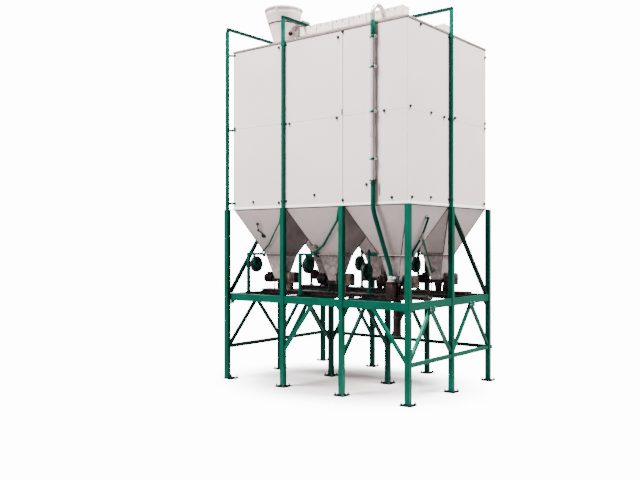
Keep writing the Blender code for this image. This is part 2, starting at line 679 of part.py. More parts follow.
def build():
    clear_scene()
    green = material("green_paint", (0.012, 0.250, 0.165), 0.42)
    sheet_paint = material("sheet_paint", (0.70, 0.67, 0.655), 0.48)
    steel = material("steel", (0.58, 0.58, 0.57), 0.38, 0.85)
    dark = material("dark_paint", (0.035, 0.022, 0.022), 0.5)
    root = bpy.data.objects.new("silo", None)
    bpy.context.scene.collection.objects.link(root)
    build_legs(green, root)
    build_cross_frames(green, root)
    build_long_beams(green, root)
    build_front_diagonals(green, root)
    build_upper_struts(green, root)
    build_walls(sheet_paint, root)
    build_hoppers(sheet_paint, root)
    build_troughs(dark, root)
    build_drives(green, root)
    build_pipes(steel, green, dark, root)
    build_roof_gear(steel, dark, root)
    build_stays(green, root)
    build_branch_pipe(green, root)
    build_top_frame(green, root)


build()
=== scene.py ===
import math
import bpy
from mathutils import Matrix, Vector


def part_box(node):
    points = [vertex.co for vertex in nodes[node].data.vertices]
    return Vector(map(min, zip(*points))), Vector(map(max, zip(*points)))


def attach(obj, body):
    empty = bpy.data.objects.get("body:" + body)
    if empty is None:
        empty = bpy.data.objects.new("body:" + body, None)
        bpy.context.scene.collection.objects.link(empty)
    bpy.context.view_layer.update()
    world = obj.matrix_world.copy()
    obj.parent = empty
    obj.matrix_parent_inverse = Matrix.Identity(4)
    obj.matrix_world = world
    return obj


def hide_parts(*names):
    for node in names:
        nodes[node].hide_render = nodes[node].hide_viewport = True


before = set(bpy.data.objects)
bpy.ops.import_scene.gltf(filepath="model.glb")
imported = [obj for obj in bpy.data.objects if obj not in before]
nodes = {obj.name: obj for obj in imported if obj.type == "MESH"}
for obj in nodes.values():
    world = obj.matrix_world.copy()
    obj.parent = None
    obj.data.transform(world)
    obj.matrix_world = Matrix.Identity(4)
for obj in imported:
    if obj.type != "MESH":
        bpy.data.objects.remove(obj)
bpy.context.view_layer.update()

from types import SimpleNamespace

import bmesh
import bpy
from mathutils import Matrix, Vector

scene = bpy.context.scene

# The viewpoint: an eye a little above head height, out past the corner where the long front and the
# right end meet.
CAMERA_AT = (7.618, -10.743, 2.370)
CAMERA_TURN = 38.25
SENSOR = 36.0
LENS = 42.75
SHIFT_UP = 0.0039
camera_data = bpy.data.cameras.new("eye")
camera_data.sensor_width = SENSOR
camera_data.lens = LENS
camera_data.shift_y = SHIFT_UP
camera = bpy.data.objects.new("eye", camera_data)
camera.location = CAMERA_AT
camera.rotation_euler = (math.radians(90), 0, math.radians(CAMERA_TURN))
scene.collection.objects.link(camera)
scene.camera = camera

# The studio: a pale floor with a painted shadow under the bin, that fades out into a white
# surround. One high soft lamp lights each of the two sides that show, with a weak one low beside it
# and a faint one behind the bin, so that all that stands under it lies in shade.
FLOOR_HALF = 60.0
FLOOR_FADE = (0.62, 1.55)
FLOOR_FADE_SHAPE = (0.53, 0.66, 1.0)
FLOOR_FADE_SHIFT = (0.0, 0.20, 0.0)
FLOOR_TONE, FLOOR_PAINTED_SHADOW_TONE = (0.72, 0.685, 0.685), (0.42, 0.370, 0.370)
FLOOR_PAINTED_SHADOW_REACH = (0.35, 1.00)
FLOOR_ROUGHNESS, FLOOR_GLOSS = 0.9, 0.05
LAMPS = (("lamp_front", (-5.5, -12.2, 24.8), (0, -1.3, 3.6), 8.0, 40000),
         ("lamp_end", (12.9, 5.2, 24.8), (1.8, 0.2, 3.6), 8.0, 44000),
         ("fill_front", (-4.0, -14.0, 7.5), (0, -1.3, 2.5), 5.0, 1700),
         ("fill_end", (15.0, 3.5, 7.5), (1.8, 0, 2.5), 5.0, 1200),
         ("lamp_far", (-8.5, 8.0, 6.0), (0, 0, 3.0), 8.0, 500))
SURROUND_SEEN = 14.0
SURROUND_ABOVE, SURROUND_BELOW = 0.08, 0.95
HORIZON_BAND = (-0.15, 0.10)


def node_makers(tree):
    """Short calls that add nodes to a tree and join them."""
    link = tree.links.new

    def add(kind, **values):
        node = tree.nodes.new(kind)
        for key, value in values.items():
            if key in node.inputs:
                node.inputs[key].default_value = value
            else:
                setattr(node, key, value)
        return node

    def colour(value):
        return (value, value, value, 1) if isinstance(value, (int, float)) else (*value, 1)

    def is_joint(value):
        return isinstance(value, bpy.types.NodeSocket)

    def noise(scale, detail=4.0, stretch=(1, 1, 1)):
        sized = add("ShaderNodeMapping", Scale=stretch)
        link(add("ShaderNodeTexCoord").outputs["Object"], sized.inputs["Vector"])
        grain = add("ShaderNodeTexNoise", Scale=scale, Detail=detail)
        link(sized.outputs["Vector"], grain.inputs["Vector"])
        return grain.outputs["Fac"]

    def ramp(source, stops):
        node = add("ShaderNodeValToRGB")
        band = node.color_ramp
        while len(band.elements) < len(stops):
            band.elements.new(0.5)
        for element, (at, tone) in zip(band.elements, stops):
            element.position = at
            element.color = colour(tone)
        link(source, node.inputs["Fac"])
        return node.outputs["Color"]

    def mix(*values):
        node = add("ShaderNodeMix", data_type="RGBA")
        for socket, value in zip((node.inputs[0], node.inputs[6], node.inputs[7]), values):
            if is_joint(value):
                link(value, socket)
            else:
                socket.default_value = colour(value)
        return node.outputs[2]

    def part(letter, kind="Position"):
        """One coordinate of the place, or of the way that the surface faces."""
        node = add("ShaderNodeSeparateXYZ")
        link(add("ShaderNodeNewGeometry").outputs[kind], node.inputs["Vector"])
        return node.outputs[letter]

    def share(source, low, high, start=0.0, end=1.0, **more):
        """How far a value has come from low to high, spread from start to end."""
        spans = {"From Min": low, "From Max": high, "To Min": start, "To Max": end}
        node = add("ShaderNodeMapRange", **spans, **more)
        link(source, node.inputs["Value"])
        return node.outputs["Result"]

    def reckon(operation, *values):
        node = add("ShaderNodeMath", operation=operation)
        for value, socket in zip(values, node.inputs):
            link(value, socket)
        return node.outputs[0]

    def join(value, name):
        """Gives an input of the shader a node's result or a plain value."""
        socket = tree.nodes["Principled BSDF"].inputs[name]
        if is_joint(value):
            link(value, socket)
        else:
            socket.default_value = value

    def bump(height, strength, distance):
        node = add("ShaderNodeBump", Strength=strength, Distance=distance)
        link(height, node.inputs["Height"])
        join(node.outputs["Normal"], "Normal")

    return SimpleNamespace(add=add, noise=noise, ramp=ramp, mix=mix, part=part, share=share,
                           reckon=reckon, bump=bump, join=join, link=link)


def new_finish(name):
    """A material and its tree's makers."""
    made = bpy.data.materials.new(name)
    made.use_nodes = True
    return made, node_makers(made.node_tree)


def studio_floor():
    mesh = bpy.data.meshes.new("studio_floor")
    h = FLOOR_HALF
    mesh.from_pydata([(-h, -h, 0), (h, -h, 0), (h, h, 0), (-h, h, 0)], [], [(0, 1, 2, 3)])
    made = bpy.data.objects.new("studio_floor", mesh)
    finish, use = new_finish("pale_floor")
    use.join(FLOOR_ROUGHNESS, "Roughness")
    use.join(FLOOR_GLOSS, "Specular IOR Level")
    oval = use.add("ShaderNodeVectorMath", operation="MULTIPLY_ADD")
    oval.inputs[1].default_value = FLOOR_FADE_SHAPE
    oval.inputs[2].default_value = FLOOR_FADE_SHIFT
    use.link(use.add("ShaderNodeNewGeometry").outputs["Position"], oval.inputs[0])
    length = use.add("ShaderNodeVectorMath", operation="LENGTH")
    use.link(oval.outputs["Vector"], length.inputs[0])
    reach = length.outputs["Value"]
    use.join(use.share(reach, *FLOOR_FADE, 1.0, 0.0, interpolation_type="SMOOTHERSTEP"), "Alpha")
    # The floor's colour is darker near the bin: a painted shadow.
    use.join(use.ramp(reach, list(zip(FLOOR_PAINTED_SHADOW_REACH, (FLOOR_PAINTED_SHADOW_TONE, FLOOR_TONE)))), "Base Color")
    mesh.materials.append(finish)
    scene.collection.objects.link(made)


studio_floor()
for name, place, aim, size, power in LAMPS:
    light = bpy.data.lights.new(name, "AREA")
    light.shape = "SQUARE"
    light.size = size
    light.energy = power
    lamp = bpy.data.objects.new(name, light)
    lamp.location = place
    lamp.rotation_euler = (Vector(aim) - Vector(place)).to_track_quat("-Z", "Y").to_euler()
    scene.collection.objects.link(lamp)
world = bpy.data.worlds.new("white_surround")
world.use_nodes = True
scene.world = world
sky = world.node_tree
use = node_makers(sky)
seen = sky.nodes["Background"]
seen.inputs["Color"].default_value = (1, 1, 1, 1)
seen.inputs["Strength"].default_value = SURROUND_SEEN
soft = use.add("ShaderNodeBackground", Color=(1, 1, 1, 1))
height = use.add("ShaderNodeSeparateXYZ")
use.link(use.add("ShaderNodeTexCoord").outputs["Generated"], height.inputs["Vector"])
glow = use.share(height.outputs["Z"], *HORIZON_BAND, SURROUND_BELOW, SURROUND_ABOVE)
use.link(glow, soft.inputs["Strength"])
either = use.add("ShaderNodeMixShader")
use.link(use.add("ShaderNodeLightPath").outputs["Is Camera Ray"], either.inputs["Fac"])
use.link(soft.outputs["Background"], either.inputs[1])
use.link(seen.outputs["Background"], either.inputs[2])
use.link(either.outputs["Shader"], sky.nodes["World Output"].inputs["Surface"])

# The stand's enamel: one coat of gloss green over welded tube, a little uneven, with dust lying on
# the flats. The frames under the bin, the left end frame and the top beams take a dimmer green as
# painted shade, and the ring beams and struts a near black as painted deep shade.
GREEN = (0.0004, 0.045, 0.027)
GREEN_DEEP = (0.0003, 0.033, 0.019)
GREEN_DUSTY = (0.012, 0.080, 0.058)
GREEN_GRIME = (0.0008, 0.005, 0.0035)
# Painted shade: a dimmer green and a near-black green for members that stand in shade.
PAINTED_SHADE_GREEN, PAINTED_SHADE_DEEP = (0.0003, 0.015, 0.010), (0.0002, 0.008, 0.005)
PAINTED_DEEP_SHADE_GREEN, PAINTED_DEEP_SHADE_GREEN_DARK = (0.0003, 0.006, 0.004), (0.0002, 0.003, 0.002)
GRIME_TOP_Z = 0.030
GRIME_ROUGHNESS, GRIME_GLOSS = 0.9, 0.02
GREEN_SHEEN = (0.06, 1.0, 0.72, 1)
GLOSS, PAINTED_SHADE_GLOSS, PAINTED_DEEP_SHADE_GLOSS = 0.24, 0.12, 0.08
TUBE_EDGE = 0.004
WELD_REACH = 0.0001
EDGE_ANGLE = 40


def make_enamel(name, deep, coat, gloss):
    made, use = new_finish(name)
    tone = use.ramp(use.noise(3.0, 5.0), [(0.30, deep), (0.62, coat)])
    flat = use.ramp(use.part("Z", "Normal"), [(0.55, 0), (0.95, 1)])
    speckle = use.ramp(use.noise(38.0, 6.0), [(0.46, 0), (0.64, 0.8)])
    dusty = use.mix(use.reckon("MULTIPLY", flat, speckle), tone, GREEN_DUSTY)
    grime = use.ramp(use.part("Z"), [(GRIME_TOP_Z * 0.7, 1), (GRIME_TOP_Z, 0)])
    use.join(use.mix(grime, dusty, GREEN_GRIME), "Base Color")
    coat_rough = use.ramp(use.noise(11.0, 4.0), [(0.3, 0.28), (0.7, 0.44)])
    use.join(use.mix(grime, coat_rough, GRIME_ROUGHNESS), "Roughness")
    use.join(use.share(grime, 0.0, 1.0, gloss, GRIME_GLOSS), "Specular IOR Level")
    use.join(GREEN_SHEEN, "Specular Tint")
    use.bump(use.noise(120.0, 2.0), 0.12, 0.0006)
    return made


enamel = make_enamel("green_enamel", GREEN_DEEP, GREEN, GLOSS)
painted_shade_enamel = make_enamel("green_enamel_in_painted_shade", PAINTED_SHADE_DEEP, PAINTED_SHADE_GREEN, PAINTED_SHADE_GLOSS)
painted_deep_shade_enamel = make_enamel("green_enamel_in_painted_deep_shade", PAINTED_DEEP_SHADE_GREEN_DARK, PAINTED_DEEP_SHADE_GREEN, PAINTED_DEEP_SHADE_GLOSS)


def dress(names, finish, edge=0.0):
    """Gives frame pieces their finish and, where they are rolled or folded, their rounded edges."""
    for name in names:
        node = nodes[name]
        node.data.materials.clear()
        node.data.materials.append(finish)
        if edge:
            close = node.modifiers.new("close", "WELD")
            close.merge_threshold = WELD_REACH
            round_off = node.modifiers.new("round_off", "BEVEL")
            round_off.width = edge
            round_off.segments = 2
            round_off.limit_method = "ANGLE"
            round_off.angle_limit = math.radians(EDGE_ANGLE)
            round_off.harden_normals = True


def starting(*heads):
    return [name for name in sorted(nodes) if name.startswith(heads)]


dress(starting("leg_front", "leg_back_4", "beam_front", "front_diagonal", "end_frame_right"),
      enamel, TUBE_EDGE)
# These members are painted the dimmer green of painted shade.
dress(starting("leg_back_1", "leg_back_2", "leg_back_3", "beam_back", "inner_frame", "end_frame_left",
               "top_"), painted_shade_enamel, TUBE_EDGE)
# These members are painted near black as painted deep shade.
dress(starting("ring_beam", "upper_strut"), painted_deep_shade_enamel, TUBE_EDGE)
dress(starting("stay_"), enamel)

# Base plates: every leg is seam-welded to a thick square plate, black with damp and oil, and held
# down by four blacked anchors with heavy washers and nuts.
ANCHOR_OFF = 0.073
ANCHOR_THREAD = 0.018
LEG_HALF = 0.040
LEG_OUT = 0.045
PLATE_TOP = 0.018
BEAD = 0.005
BLACKED, BLACKED_DEEP = (0.020, 0.016, 0.016), (0.010, 0.008, 0.008)
SMOOTH_ANGLE = 35
CORNERS = ((-1, -1), (1, -1), (1, 1), (-1, 1))


def plain_finish(name, grain, tones, rough, pits, gloss=0.5, metal=0.0):
    """A finish mottled over its tones, with its own roughness and fine pits."""
    made, use = new_finish(name)
    rough_grain, low, high = rough
    pit_grain, strength, depth = pits
    use.join(metal, "Metallic")
    use.join(gloss, "Specular IOR Level")
    use.join(use.ramp(use.noise(*grain), tones), "Base Color")
    use.join(use.ramp(use.noise(*rough_grain), [(0.3, low), (0.7, high)]), "Roughness")
    use.bump(use.noise(*pit_grain), strength, depth)
    return made


blacked = plain_finish("blacked_steel", (50.0,), [(0.35, BLACKED_DEEP), (0.7, BLACKED)],
                       ((70.0,), 0.35, 0.55), ((250.0,), 0.15, 0.0004), metal=0.3)


def place_along(at, way):
    """The matrix that stands +Z along a direction at a point."""
    return Matrix.Translation(at) @ Vector(way).to_track_quat("Z", "Y").to_matrix().to_4x4()


def ease(bm, edges, width, segments=2):
    """Eases some edges, each given once or more."""
    return bmesh.ops.bevel(bm, geom=list(dict.fromkeys(edges)), offset=width, segments=segments,
                           profile=0.5, affect="EDGES")["faces"]


def round_bar(bm, start, end, radius, sides=16, far_radius=None, edge=0.0):
    """A round bar, or a cone, between two points, its rims eased."""
    start, end = Vector(start), Vector(end)
    matrix = place_along((start + end) / 2, end - start)
    far = radius if far_radius is None else far_radius
    made = bmesh.ops.create_cone(bm, cap_ends=True, segments=sides, radius1=radius, radius2=far,
                                 depth=(end - start).length, matrix=matrix)["verts"]
    if edge:
        rims = [e for v in made for e in v.link_edges if any(len(f.verts) > 4 for f in e.link_faces)]
        ease(bm, rims, edge)


def drum(bm, x, y, low_z, high_z, radius, sides, edge=0.0, far_radius=None):
    """A round bar, or a cone, on an upright line."""
    round_bar(bm, (x, y, low_z), (x, y, high_z), radius, sides, far_radius, edge)


def shape(bm, smooth=SMOOTH_ANGLE):
    """Closes a bmesh into a mesh whose round faces are shaded smooth."""
    mesh = bpy.data.meshes.new("shape")
    bmesh.ops.recalc_face_normals(bm, faces=bm.faces)
    bm.to_mesh(mesh)
    bm.free()
    mesh.shade_smooth()
    mesh.set_sharp_from_angle(angle=math.radians(smooth))
    return mesh


def piece(name, bm, finish, stands_for=(), smooth=SMOOTH_ANGLE):
    """Makes a bmesh a piece of the silo, with its finish, and hides the parts that it stands for."""
    mesh = shape(bm, smooth)
    mesh.name = name
    mesh.materials.append(finish)
    made = bpy.data.objects.new(name, mesh)
    scene.collection.objects.link(made)
    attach(made, "root")
    if stands_for:
        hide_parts(*stands_for)
    return made


def stamp(bm, mesh, matrix):
    """Adds a copy of a small mesh to a bmesh."""
    copy = mesh.copy()
    copy.transform(matrix)
    bm.from_mesh(copy)
    bpy.data.meshes.remove(copy)


def bolt_shape(thread, tail):
    """Washer, hexagon and thread end, standing along +Z from the face that they clamp."""
    bm = bmesh.new()
    washer, head = thread * 0.2, thread
    drum(bm, 0, 0, 0, washer, thread * 1.2, 16, thread * 0.05)
    drum(bm, 0, 0, washer, head, thread * 0.92, 6, thread * 0.08)
    drum(bm, 0, 0, head, head + thread * tail, thread * 0.5, 10, thread * 0.08)
    return shape(bm)


def middle(node):
    low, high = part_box(node)
    return (low + high) / 2


line_x = [middle(f"leg_front_{i}").x for i in (1, 2, 3, 4)]
line_y = [middle("leg_front_2").y, 0.0, middle("leg_back_2").y]
anchor = bolt_shape(ANCHOR_THREAD, 1.1)
anchors, foot_welds = bmesh.new(), bmesh.new()
for x in line_x:
    for y in line_y:
        outward = LEG_OUT if (x, y) == (line_x[0], line_y[0]) else 0.0
        at_x, at_y = x - outward, y - outward
        for dx in (-ANCHOR_OFF, ANCHOR_OFF):
            for dy in (-ANCHOR_OFF, ANCHOR_OFF):
                if max(abs(x + dx - at_x), abs(y + dy - at_y)) > LEG_HALF + ANCHOR_THREAD:
                    stamp(anchors, anchor, Matrix.Translation((x + dx, y + dy, PLATE_TOP)))
        ring = [(at_x + a * LEG_HALF, at_y + b * LEG_HALF, PLATE_TOP) for a, b in CORNERS]
        for start, end in zip(ring, ring[1:] + ring[:1]):
            round_bar(foot_welds, start, end, BEAD, 8)
piece("anchor_bolts", anchors, blacked)
piece("foot_welds", foot_welds, enamel)

# Gussets: small three-cornered plates stiffen the joints of the platform beams with the legs, and
# a wider one with four zinc-plated bolts ties each pair of braces to the middle of its beam.
ZINC, ZINC_DULL = (0.300, 0.295, 0.280), (0.120, 0.100, 0.090)
GUSSET = 0.070
GUSSET_TOE = 0.25
GUSSET_T = 0.008
BRACE_HALF = 0.030
BRACE_PLATE_HALF, BRACE_PLATE_H = 0.095, 0.090
BRACE_PLATE_T = 0.006
BRACE_BOLT = 0.012
FINE_EDGE, PLATE_EDGE, CAST_EDGE, BAR_EDGE = 0.001, 0.002, 0.003, 0.004
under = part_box("beam_front_2")[0].z
zinc = plain_finish("dull_zinc", (60.0, 5.0), [(0.35, ZINC_DULL), (0.6, ZINC)],
                    ((90.0,), 0.35, 0.6), ((300.0, 2.0), 0.2, 0.0004), metal=0.85)


def plate(bm, outline, half):
    """A flat plate from its outline, half of its thickness to each side."""
    near = [bm.verts.new(point - half) for point in outline]
    far = [bm.verts.new(point + half) for point in outline]
    bm.faces.new(near)
    bm.faces.new(far[::-1])
    for i in range(len(outline)):
        j = (i + 1) % len(outline)
        bm.faces.new((near[j], near[i], far[i], far[j]))


def gusset(bm, x, y, way_x, way_y):
    """A three-cornered plate under a beam, which runs along the given level direction."""
    corner, along, down = Vector((x, y, under)), Vector((way_x, way_y, 0)), Vector((0, 0, GUSSET))
    outline = [corner, corner + along * GUSSET, corner + along * GUSSET * GUSSET_TOE - down, corner - down]
    plate(bm, outline, along.cross(Vector((0, 0, 1))) * GUSSET_T / 2)


def block_between(bm, corner, far_corner):
    """A plain block between two opposite corners."""
    low = Vector(min(pair) for pair in zip(corner, far_corner))
    high = Vector(max(pair) for pair in zip(corner, far_corner))
    made = bmesh.ops.create_cube(bm, size=1.0)["verts"]
    for vert in made:
        vert.co = Vector(low[k] + (vert.co[k] + 0.5) * (high[k] - low[k]) for k in range(3))
    return made


def flat_bar(bm, corner, far_corner, edge=0.0, matrix=None, segments=2):
    """A bar between two opposite corners with its edges eased."""
    made = block_between(bm, corner, far_corner)
    if edge:
        faces = ease(bm, [e for v in made for e in v.link_edges], edge, segments)
        made = list(dict.fromkeys(v for face in faces for v in face.verts))
    if matrix is not None:
        bmesh.ops.transform(bm, matrix=matrix, verts=made)


def fix(bm, bolt, at, way):
    """Stamps a bolt on a bmesh at a point, its thread leaving along a direction."""
    stamp(bm, bolt, place_along(at, way))


gussets, brace_bolts = bmesh.new(), bmesh.new()
brace_bolt = bolt_shape(BRACE_BOLT, 0.3)
for y in (line_y[0], line_y[2]):
    for i, x in enumerate(line_x):
        for way in (-1, 1):
            if 0 <= i + way <= 3:
                side = LEG_HALF if (i, y) != (0, line_y[0]) else LEG_HALF - LEG_OUT
                gusset(gussets, x + way * side, y, way, 0)
for x in line_x:
    for y in line_y:
        for way in (-1, 1):
            if line_y[0] <= y + way <= line_y[2]:
                gusset(gussets, x, y + way * LEG_HALF, 0, way)
for i, x in enumerate(line_x):
    outward = -1 if i < 2 else 1
    face = x + outward * BRACE_HALF
    top = face + outward * BRACE_PLATE_T
    for side in (-1, 1):
        y = side * line_y[2] / 2
        flat_bar(gussets, (face, y - BRACE_PLATE_HALF, under - BRACE_PLATE_H * 0.6),
                 (top, y + BRACE_PLATE_HALF, under + BRACE_PLATE_H * 0.4), PLATE_EDGE)
        for dy in (-BRACE_PLATE_HALF * 0.7, BRACE_PLATE_HALF * 0.7):
            for dz in (-BRACE_PLATE_H * 0.3, BRACE_PLATE_H * 0.2):
                fix(brace_bolts, brace_bolt, (top, y + dy, under + dz), (outward, 0, 0))
piece("gussets", gussets, enamel)
piece("brace_bolts", brace_bolts, zinc)

# The bin's walls: pan panels of coated sheet, folded back along their edges and bolted together
# from inside, so that only narrow joints show. Light dirt has run down from the joints.
PANEL_FOLD = 0.0045
PANEL_GAP = 0.0080
MID_GAP = 0.0016
MID_JOINT_Z = 4.330
SHEET_TONE = (0.585, 0.476, 0.471)
SHEET_SHADE = (0.550, 0.442, 0.438)
SHEET_DIRT = (0.430, 0.385, 0.360)
SHEET_GLOSS = 0.35
RAIL_TOP = 2.980
RIM_LAP = 0.025
FACE_X, FACE_Y = 1.770, 1.270
SHEET_T = 0.005
PANEL_SMOOTH = 10


def finish_sheet(use):
    """Gives a sheet coat its satin and the slight waves of thin sheet."""
    use.join(use.ramp(use.noise(14.0, 4.0), [(0.3, 0.42), (0.7, 0.58)]), "Roughness")
    use.join(SHEET_GLOSS, "Specular IOR Level")
    use.bump(use.noise(1.6, 2.0), 0.12, 0.02)


def make_sheet(name, tone, shade, dirt, dirt_share):
    made, use = new_finish(name)
    cloud = use.ramp(use.noise(0.9, 3.0), [(0.35, shade), (0.65, tone)])
    streak = use.noise(5.0, 6.0, (7.0, 7.0, 0.35))
    run = use.ramp(streak, [(0.58, 0.0), (0.80, dirt_share)])
    use.join(use.mix(run, cloud, dirt), "Base Color")
    finish_sheet(use)
    return made


sheet_coat = make_sheet("sheet_coat", SHEET_TONE, SHEET_SHADE, SHEET_DIRT, 0.30)


def pan(bm, corner, far_corner, across, outer):
    """A panel whose four outer edges are folded back; outer is the coordinate of its face on that axis."""
    made = block_between(bm, corner, far_corner)
    rim = [e for v in made for e in v.link_edges if all(abs(w.co[across] - outer) < 1e-6 for w in e.verts)]
    ease(bm, rim, PANEL_FOLD, 3)


def clad(name, across, outer, splits):
    """Covers a wall with its panels, two high between each pair of upright joints."""
    panels = bmesh.new()
    inner = outer - math.copysign(SHEET_T, outer)
    for start, end in zip(splits, splits[1:]):
        left = start + (PANEL_GAP / 2 if start > splits[0] else 0)
        right = end - (PANEL_GAP / 2 if end < splits[-1] else 0)
        near, far = ((left, outer), (right, inner)) if across else ((outer, left), (inner, right))
        for low_z, high_z in levels:
            pan(panels, (*near, low_z), (*far, high_z), across, outer)
    piece(name.replace("wall", "panels"), panels, sheet_coat, [name], PANEL_SMOOTH)


wall_low, wall_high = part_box("wall_front")
rim_foot = wall_high.z - RIM_LAP
levels = ((RAIL_TOP, MID_JOINT_Z - MID_GAP / 2), (MID_JOINT_Z + MID_GAP / 2, rim_foot))
splits_x = [-FACE_X, line_x[1], line_x[2], FACE_X]
splits_y = [-FACE_Y + SHEET_T, 0.0, FACE_Y - SHEET_T]
clad("wall_front", 1, -FACE_Y, splits_x)
clad("wall_back", 1, FACE_Y, splits_x)
clad("wall_left", 0, -FACE_X, splits_y)
clad("wall_right", 0, FACE_X, splits_y)

# Joint strips: behind each joint of the panels lies a thin folded strip of sheet, bedded in a dark
# seal that closes the gap and held by the bolts of the panels.
STRIP = 0.050
STRIP_T = 0.003
STRIP_EDGE = 0.0005
SEAL_DARK, SEAL_DEEP = (0.055, 0.045, 0.042), (0.035, 0.028, 0.026)
joint_seal = plain_finish("joint_seal", (40.0,), [(0.3, SEAL_DEEP), (0.7, SEAL_DARK)],
                          ((40.0,), 0.8, 0.8), ((200.0,), 0.2, 0.0005))
strips = bmesh.new()
low_z, high_z = MID_JOINT_Z - STRIP / 2, MID_JOINT_Z + STRIP / 2
for side in (-1, 1):
    near_y, far_y = side * (FACE_Y - SHEET_T), side * (FACE_Y - SHEET_T - STRIP_T)
    near_x, far_x = side * (FACE_X - SHEET_T), side * (FACE_X - SHEET_T - STRIP_T)
    for x in line_x[1:3]:
        flat_bar(strips, (x - STRIP / 2, near_y, RAIL_TOP), (x + STRIP / 2, far_y, rim_foot), STRIP_EDGE)
    for start, end in zip(splits_x, splits_x[1:]):
        flat_bar(strips, (start + STRIP, near_y, low_z), (end - STRIP, far_y, high_z), STRIP_EDGE)
    flat_bar(strips, (near_x, -STRIP / 2, RAIL_TOP), (far_x, STRIP / 2, rim_foot), STRIP_EDGE)
    for start, end in zip(splits_y, splits_y[1:]):
        flat_bar(strips, (near_x, start + STRIP, low_z), (far_x, end - STRIP, high_z), STRIP_EDGE)
piece("joint_strips", strips, joint_seal)

# The foot rail is a rounded angle round the bottom of the bin, in a pale cream coat made lighter
# as a painted highlight; the rim is a dark sealing strip pressed over the wall tops and the edge of
# the roof sheet.
RAIL_OUT = 0.0047
RIM_OUT = 0.008
RIM_TOP = 5.694
RIM_GAP = 0.002
RAIL_PAINTED_HIGHLIGHT, RAIL_PAINTED_HIGHLIGHT_DEEP = (0.800, 0.775, 0.750), (0.74, 0.71, 0.69)
RIM_BROWN, RIM_DEEP = (0.150, 0.112, 0.100), (0.095, 0.068, 0.060)
# The rail's pale cream tones are lightened into a painted highlight.
rail_highlight_coat = make_sheet("rail_highlight_coat", RAIL_PAINTED_HIGHLIGHT, RAIL_PAINTED_HIGHLIGHT_DEEP, SHEET_DIRT, 0.15)
rim_strip = plain_finish("rim_strip", (9.0, 5.0), [(0.3, RIM_DEEP), (0.7, RIM_BROWN)],
                         ((25.0,), 0.5, 0.7), ((90.0,), 0.2, 0.0006))


def frame_of_bars(bm, out, low_z, high_z):
    """Four bars round the walls, lapped at the corners, that stand out from the sheet."""
    half_x, half_y, width = FACE_X + out, FACE_Y + out, SHEET_T + out
    for side in (-1, 1):
        flat_bar(bm, (-half_x, side * half_y, low_z), (half_x, side * (half_y - width), high_z),
                 BAR_EDGE, segments=3)
        flat_bar(bm, (side * half_x, -half_y + width, low_z),
                 (side * (half_x - width), half_y - width, high_z), BAR_EDGE, segments=3)


rails, rim = bmesh.new(), bmesh.new()
frame_of_bars(rails, RAIL_OUT, wall_low.z, RAIL_TOP)
frame_of_bars(rim, RIM_OUT, rim_foot + RIM_GAP, RIM_TOP)
piece("foot_rail", rails, rail_highlight_coat)
piece("rim_strip", rim, rim_strip)

# Joint bolts: black-headed bolts on broad washers pull the panels' corners and the inner ties
# together, above the foot rail, at the middle joint and under the rim. The front and the back have
# two flat clips each beside them.
TIE_BOLT = 0.021
BY_JOINT = 0.115
LOW_BOLT_Z, MID_BOLT_Z, TOP_BOLT_Z = 3.030, 4.315, 5.590
FRONT_BOLTS = [(line_x[1] - BY_JOINT, LOW_BOLT_Z), (line_x[1] - BY_JOINT, TOP_BOLT_Z + 0.01),
               (line_x[1] + BY_JOINT, MID_BOLT_Z), (line_x[2] - BY_JOINT, MID_BOLT_Z),
               (line_x[2] - BY_JOINT * 0.8, TOP_BOLT_Z - 0.02), (line_x[2], LOW_BOLT_Z),
               (line_x[2], TOP_BOLT_Z + 0.05), (-1.295, 3.060), (0.037, 3.128), (1.367, 4.334),
               (-1.740, 4.350), (1.500, 3.040), (1.045, 3.251)]
END_BOLTS = [(-1.195, 4.369), (-0.592, 4.352), (-0.190, 4.335), (0.165, 4.366), (1.235, 4.406),
             (1.235, 4.320), (1.235, 5.536), (1.200, LOW_BOLT_Z), (-0.900, 5.630),
             (-1.150, LOW_BOLT_Z + 0.01), (-0.600, LOW_BOLT_Z + 0.03)]
CLIPS = ((0.583, 4.350, 4.440), (1.288, 3.070, 3.260))
CLIP_HALF, CLIP_T = 0.007, 0.006
tie_bolt = bolt_shape(TIE_BOLT, 0.4)
wall_bolts = bmesh.new()
for x, z in FRONT_BOLTS:
    fix(wall_bolts, tie_bolt, (x, -FACE_Y, z), (0, -1, 0))
    fix(wall_bolts, tie_bolt, (-x, FACE_Y, z), (0, 1, 0))
for y, z in END_BOLTS:
    fix(wall_bolts, tie_bolt, (FACE_X, y, z), (1, 0, 0))
    fix(wall_bolts, tie_bolt, (-FACE_X, -y, z), (-1, 0, 0))
for x, low_z, high_z in CLIPS:
    for side in (-1, 1):
        flat_bar(wall_bolts, (-side * x - CLIP_HALF, side * FACE_Y, low_z),
                 (-side * x + CLIP_HALF, side * (FACE_Y + CLIP_T), high_z), PLATE_EDGE)
piece("wall_bolts", wall_bolts, blacked)

# Post straps: pressed straps hold the six posts against the walls at three levels. Each is bolted
# to the sheet through its two ears; the two corner posts have an angle plate instead.
STRAP_LEVELS = (3.050, 4.320, 5.622)
STRAP_HALF = 0.018
STRAP_T = 0.004
POST_HALF = 0.025
WALL_OFF = 0.030
EAR_REACH = 0.062
STRAP_BOLT = 0.009
STRAP_LIFT = 0.0005
CORNER_LAP, CORNER_BOLT = 0.060, 0.035
STAY_CLEAR, STAY_OVER = 0.002, 0.012


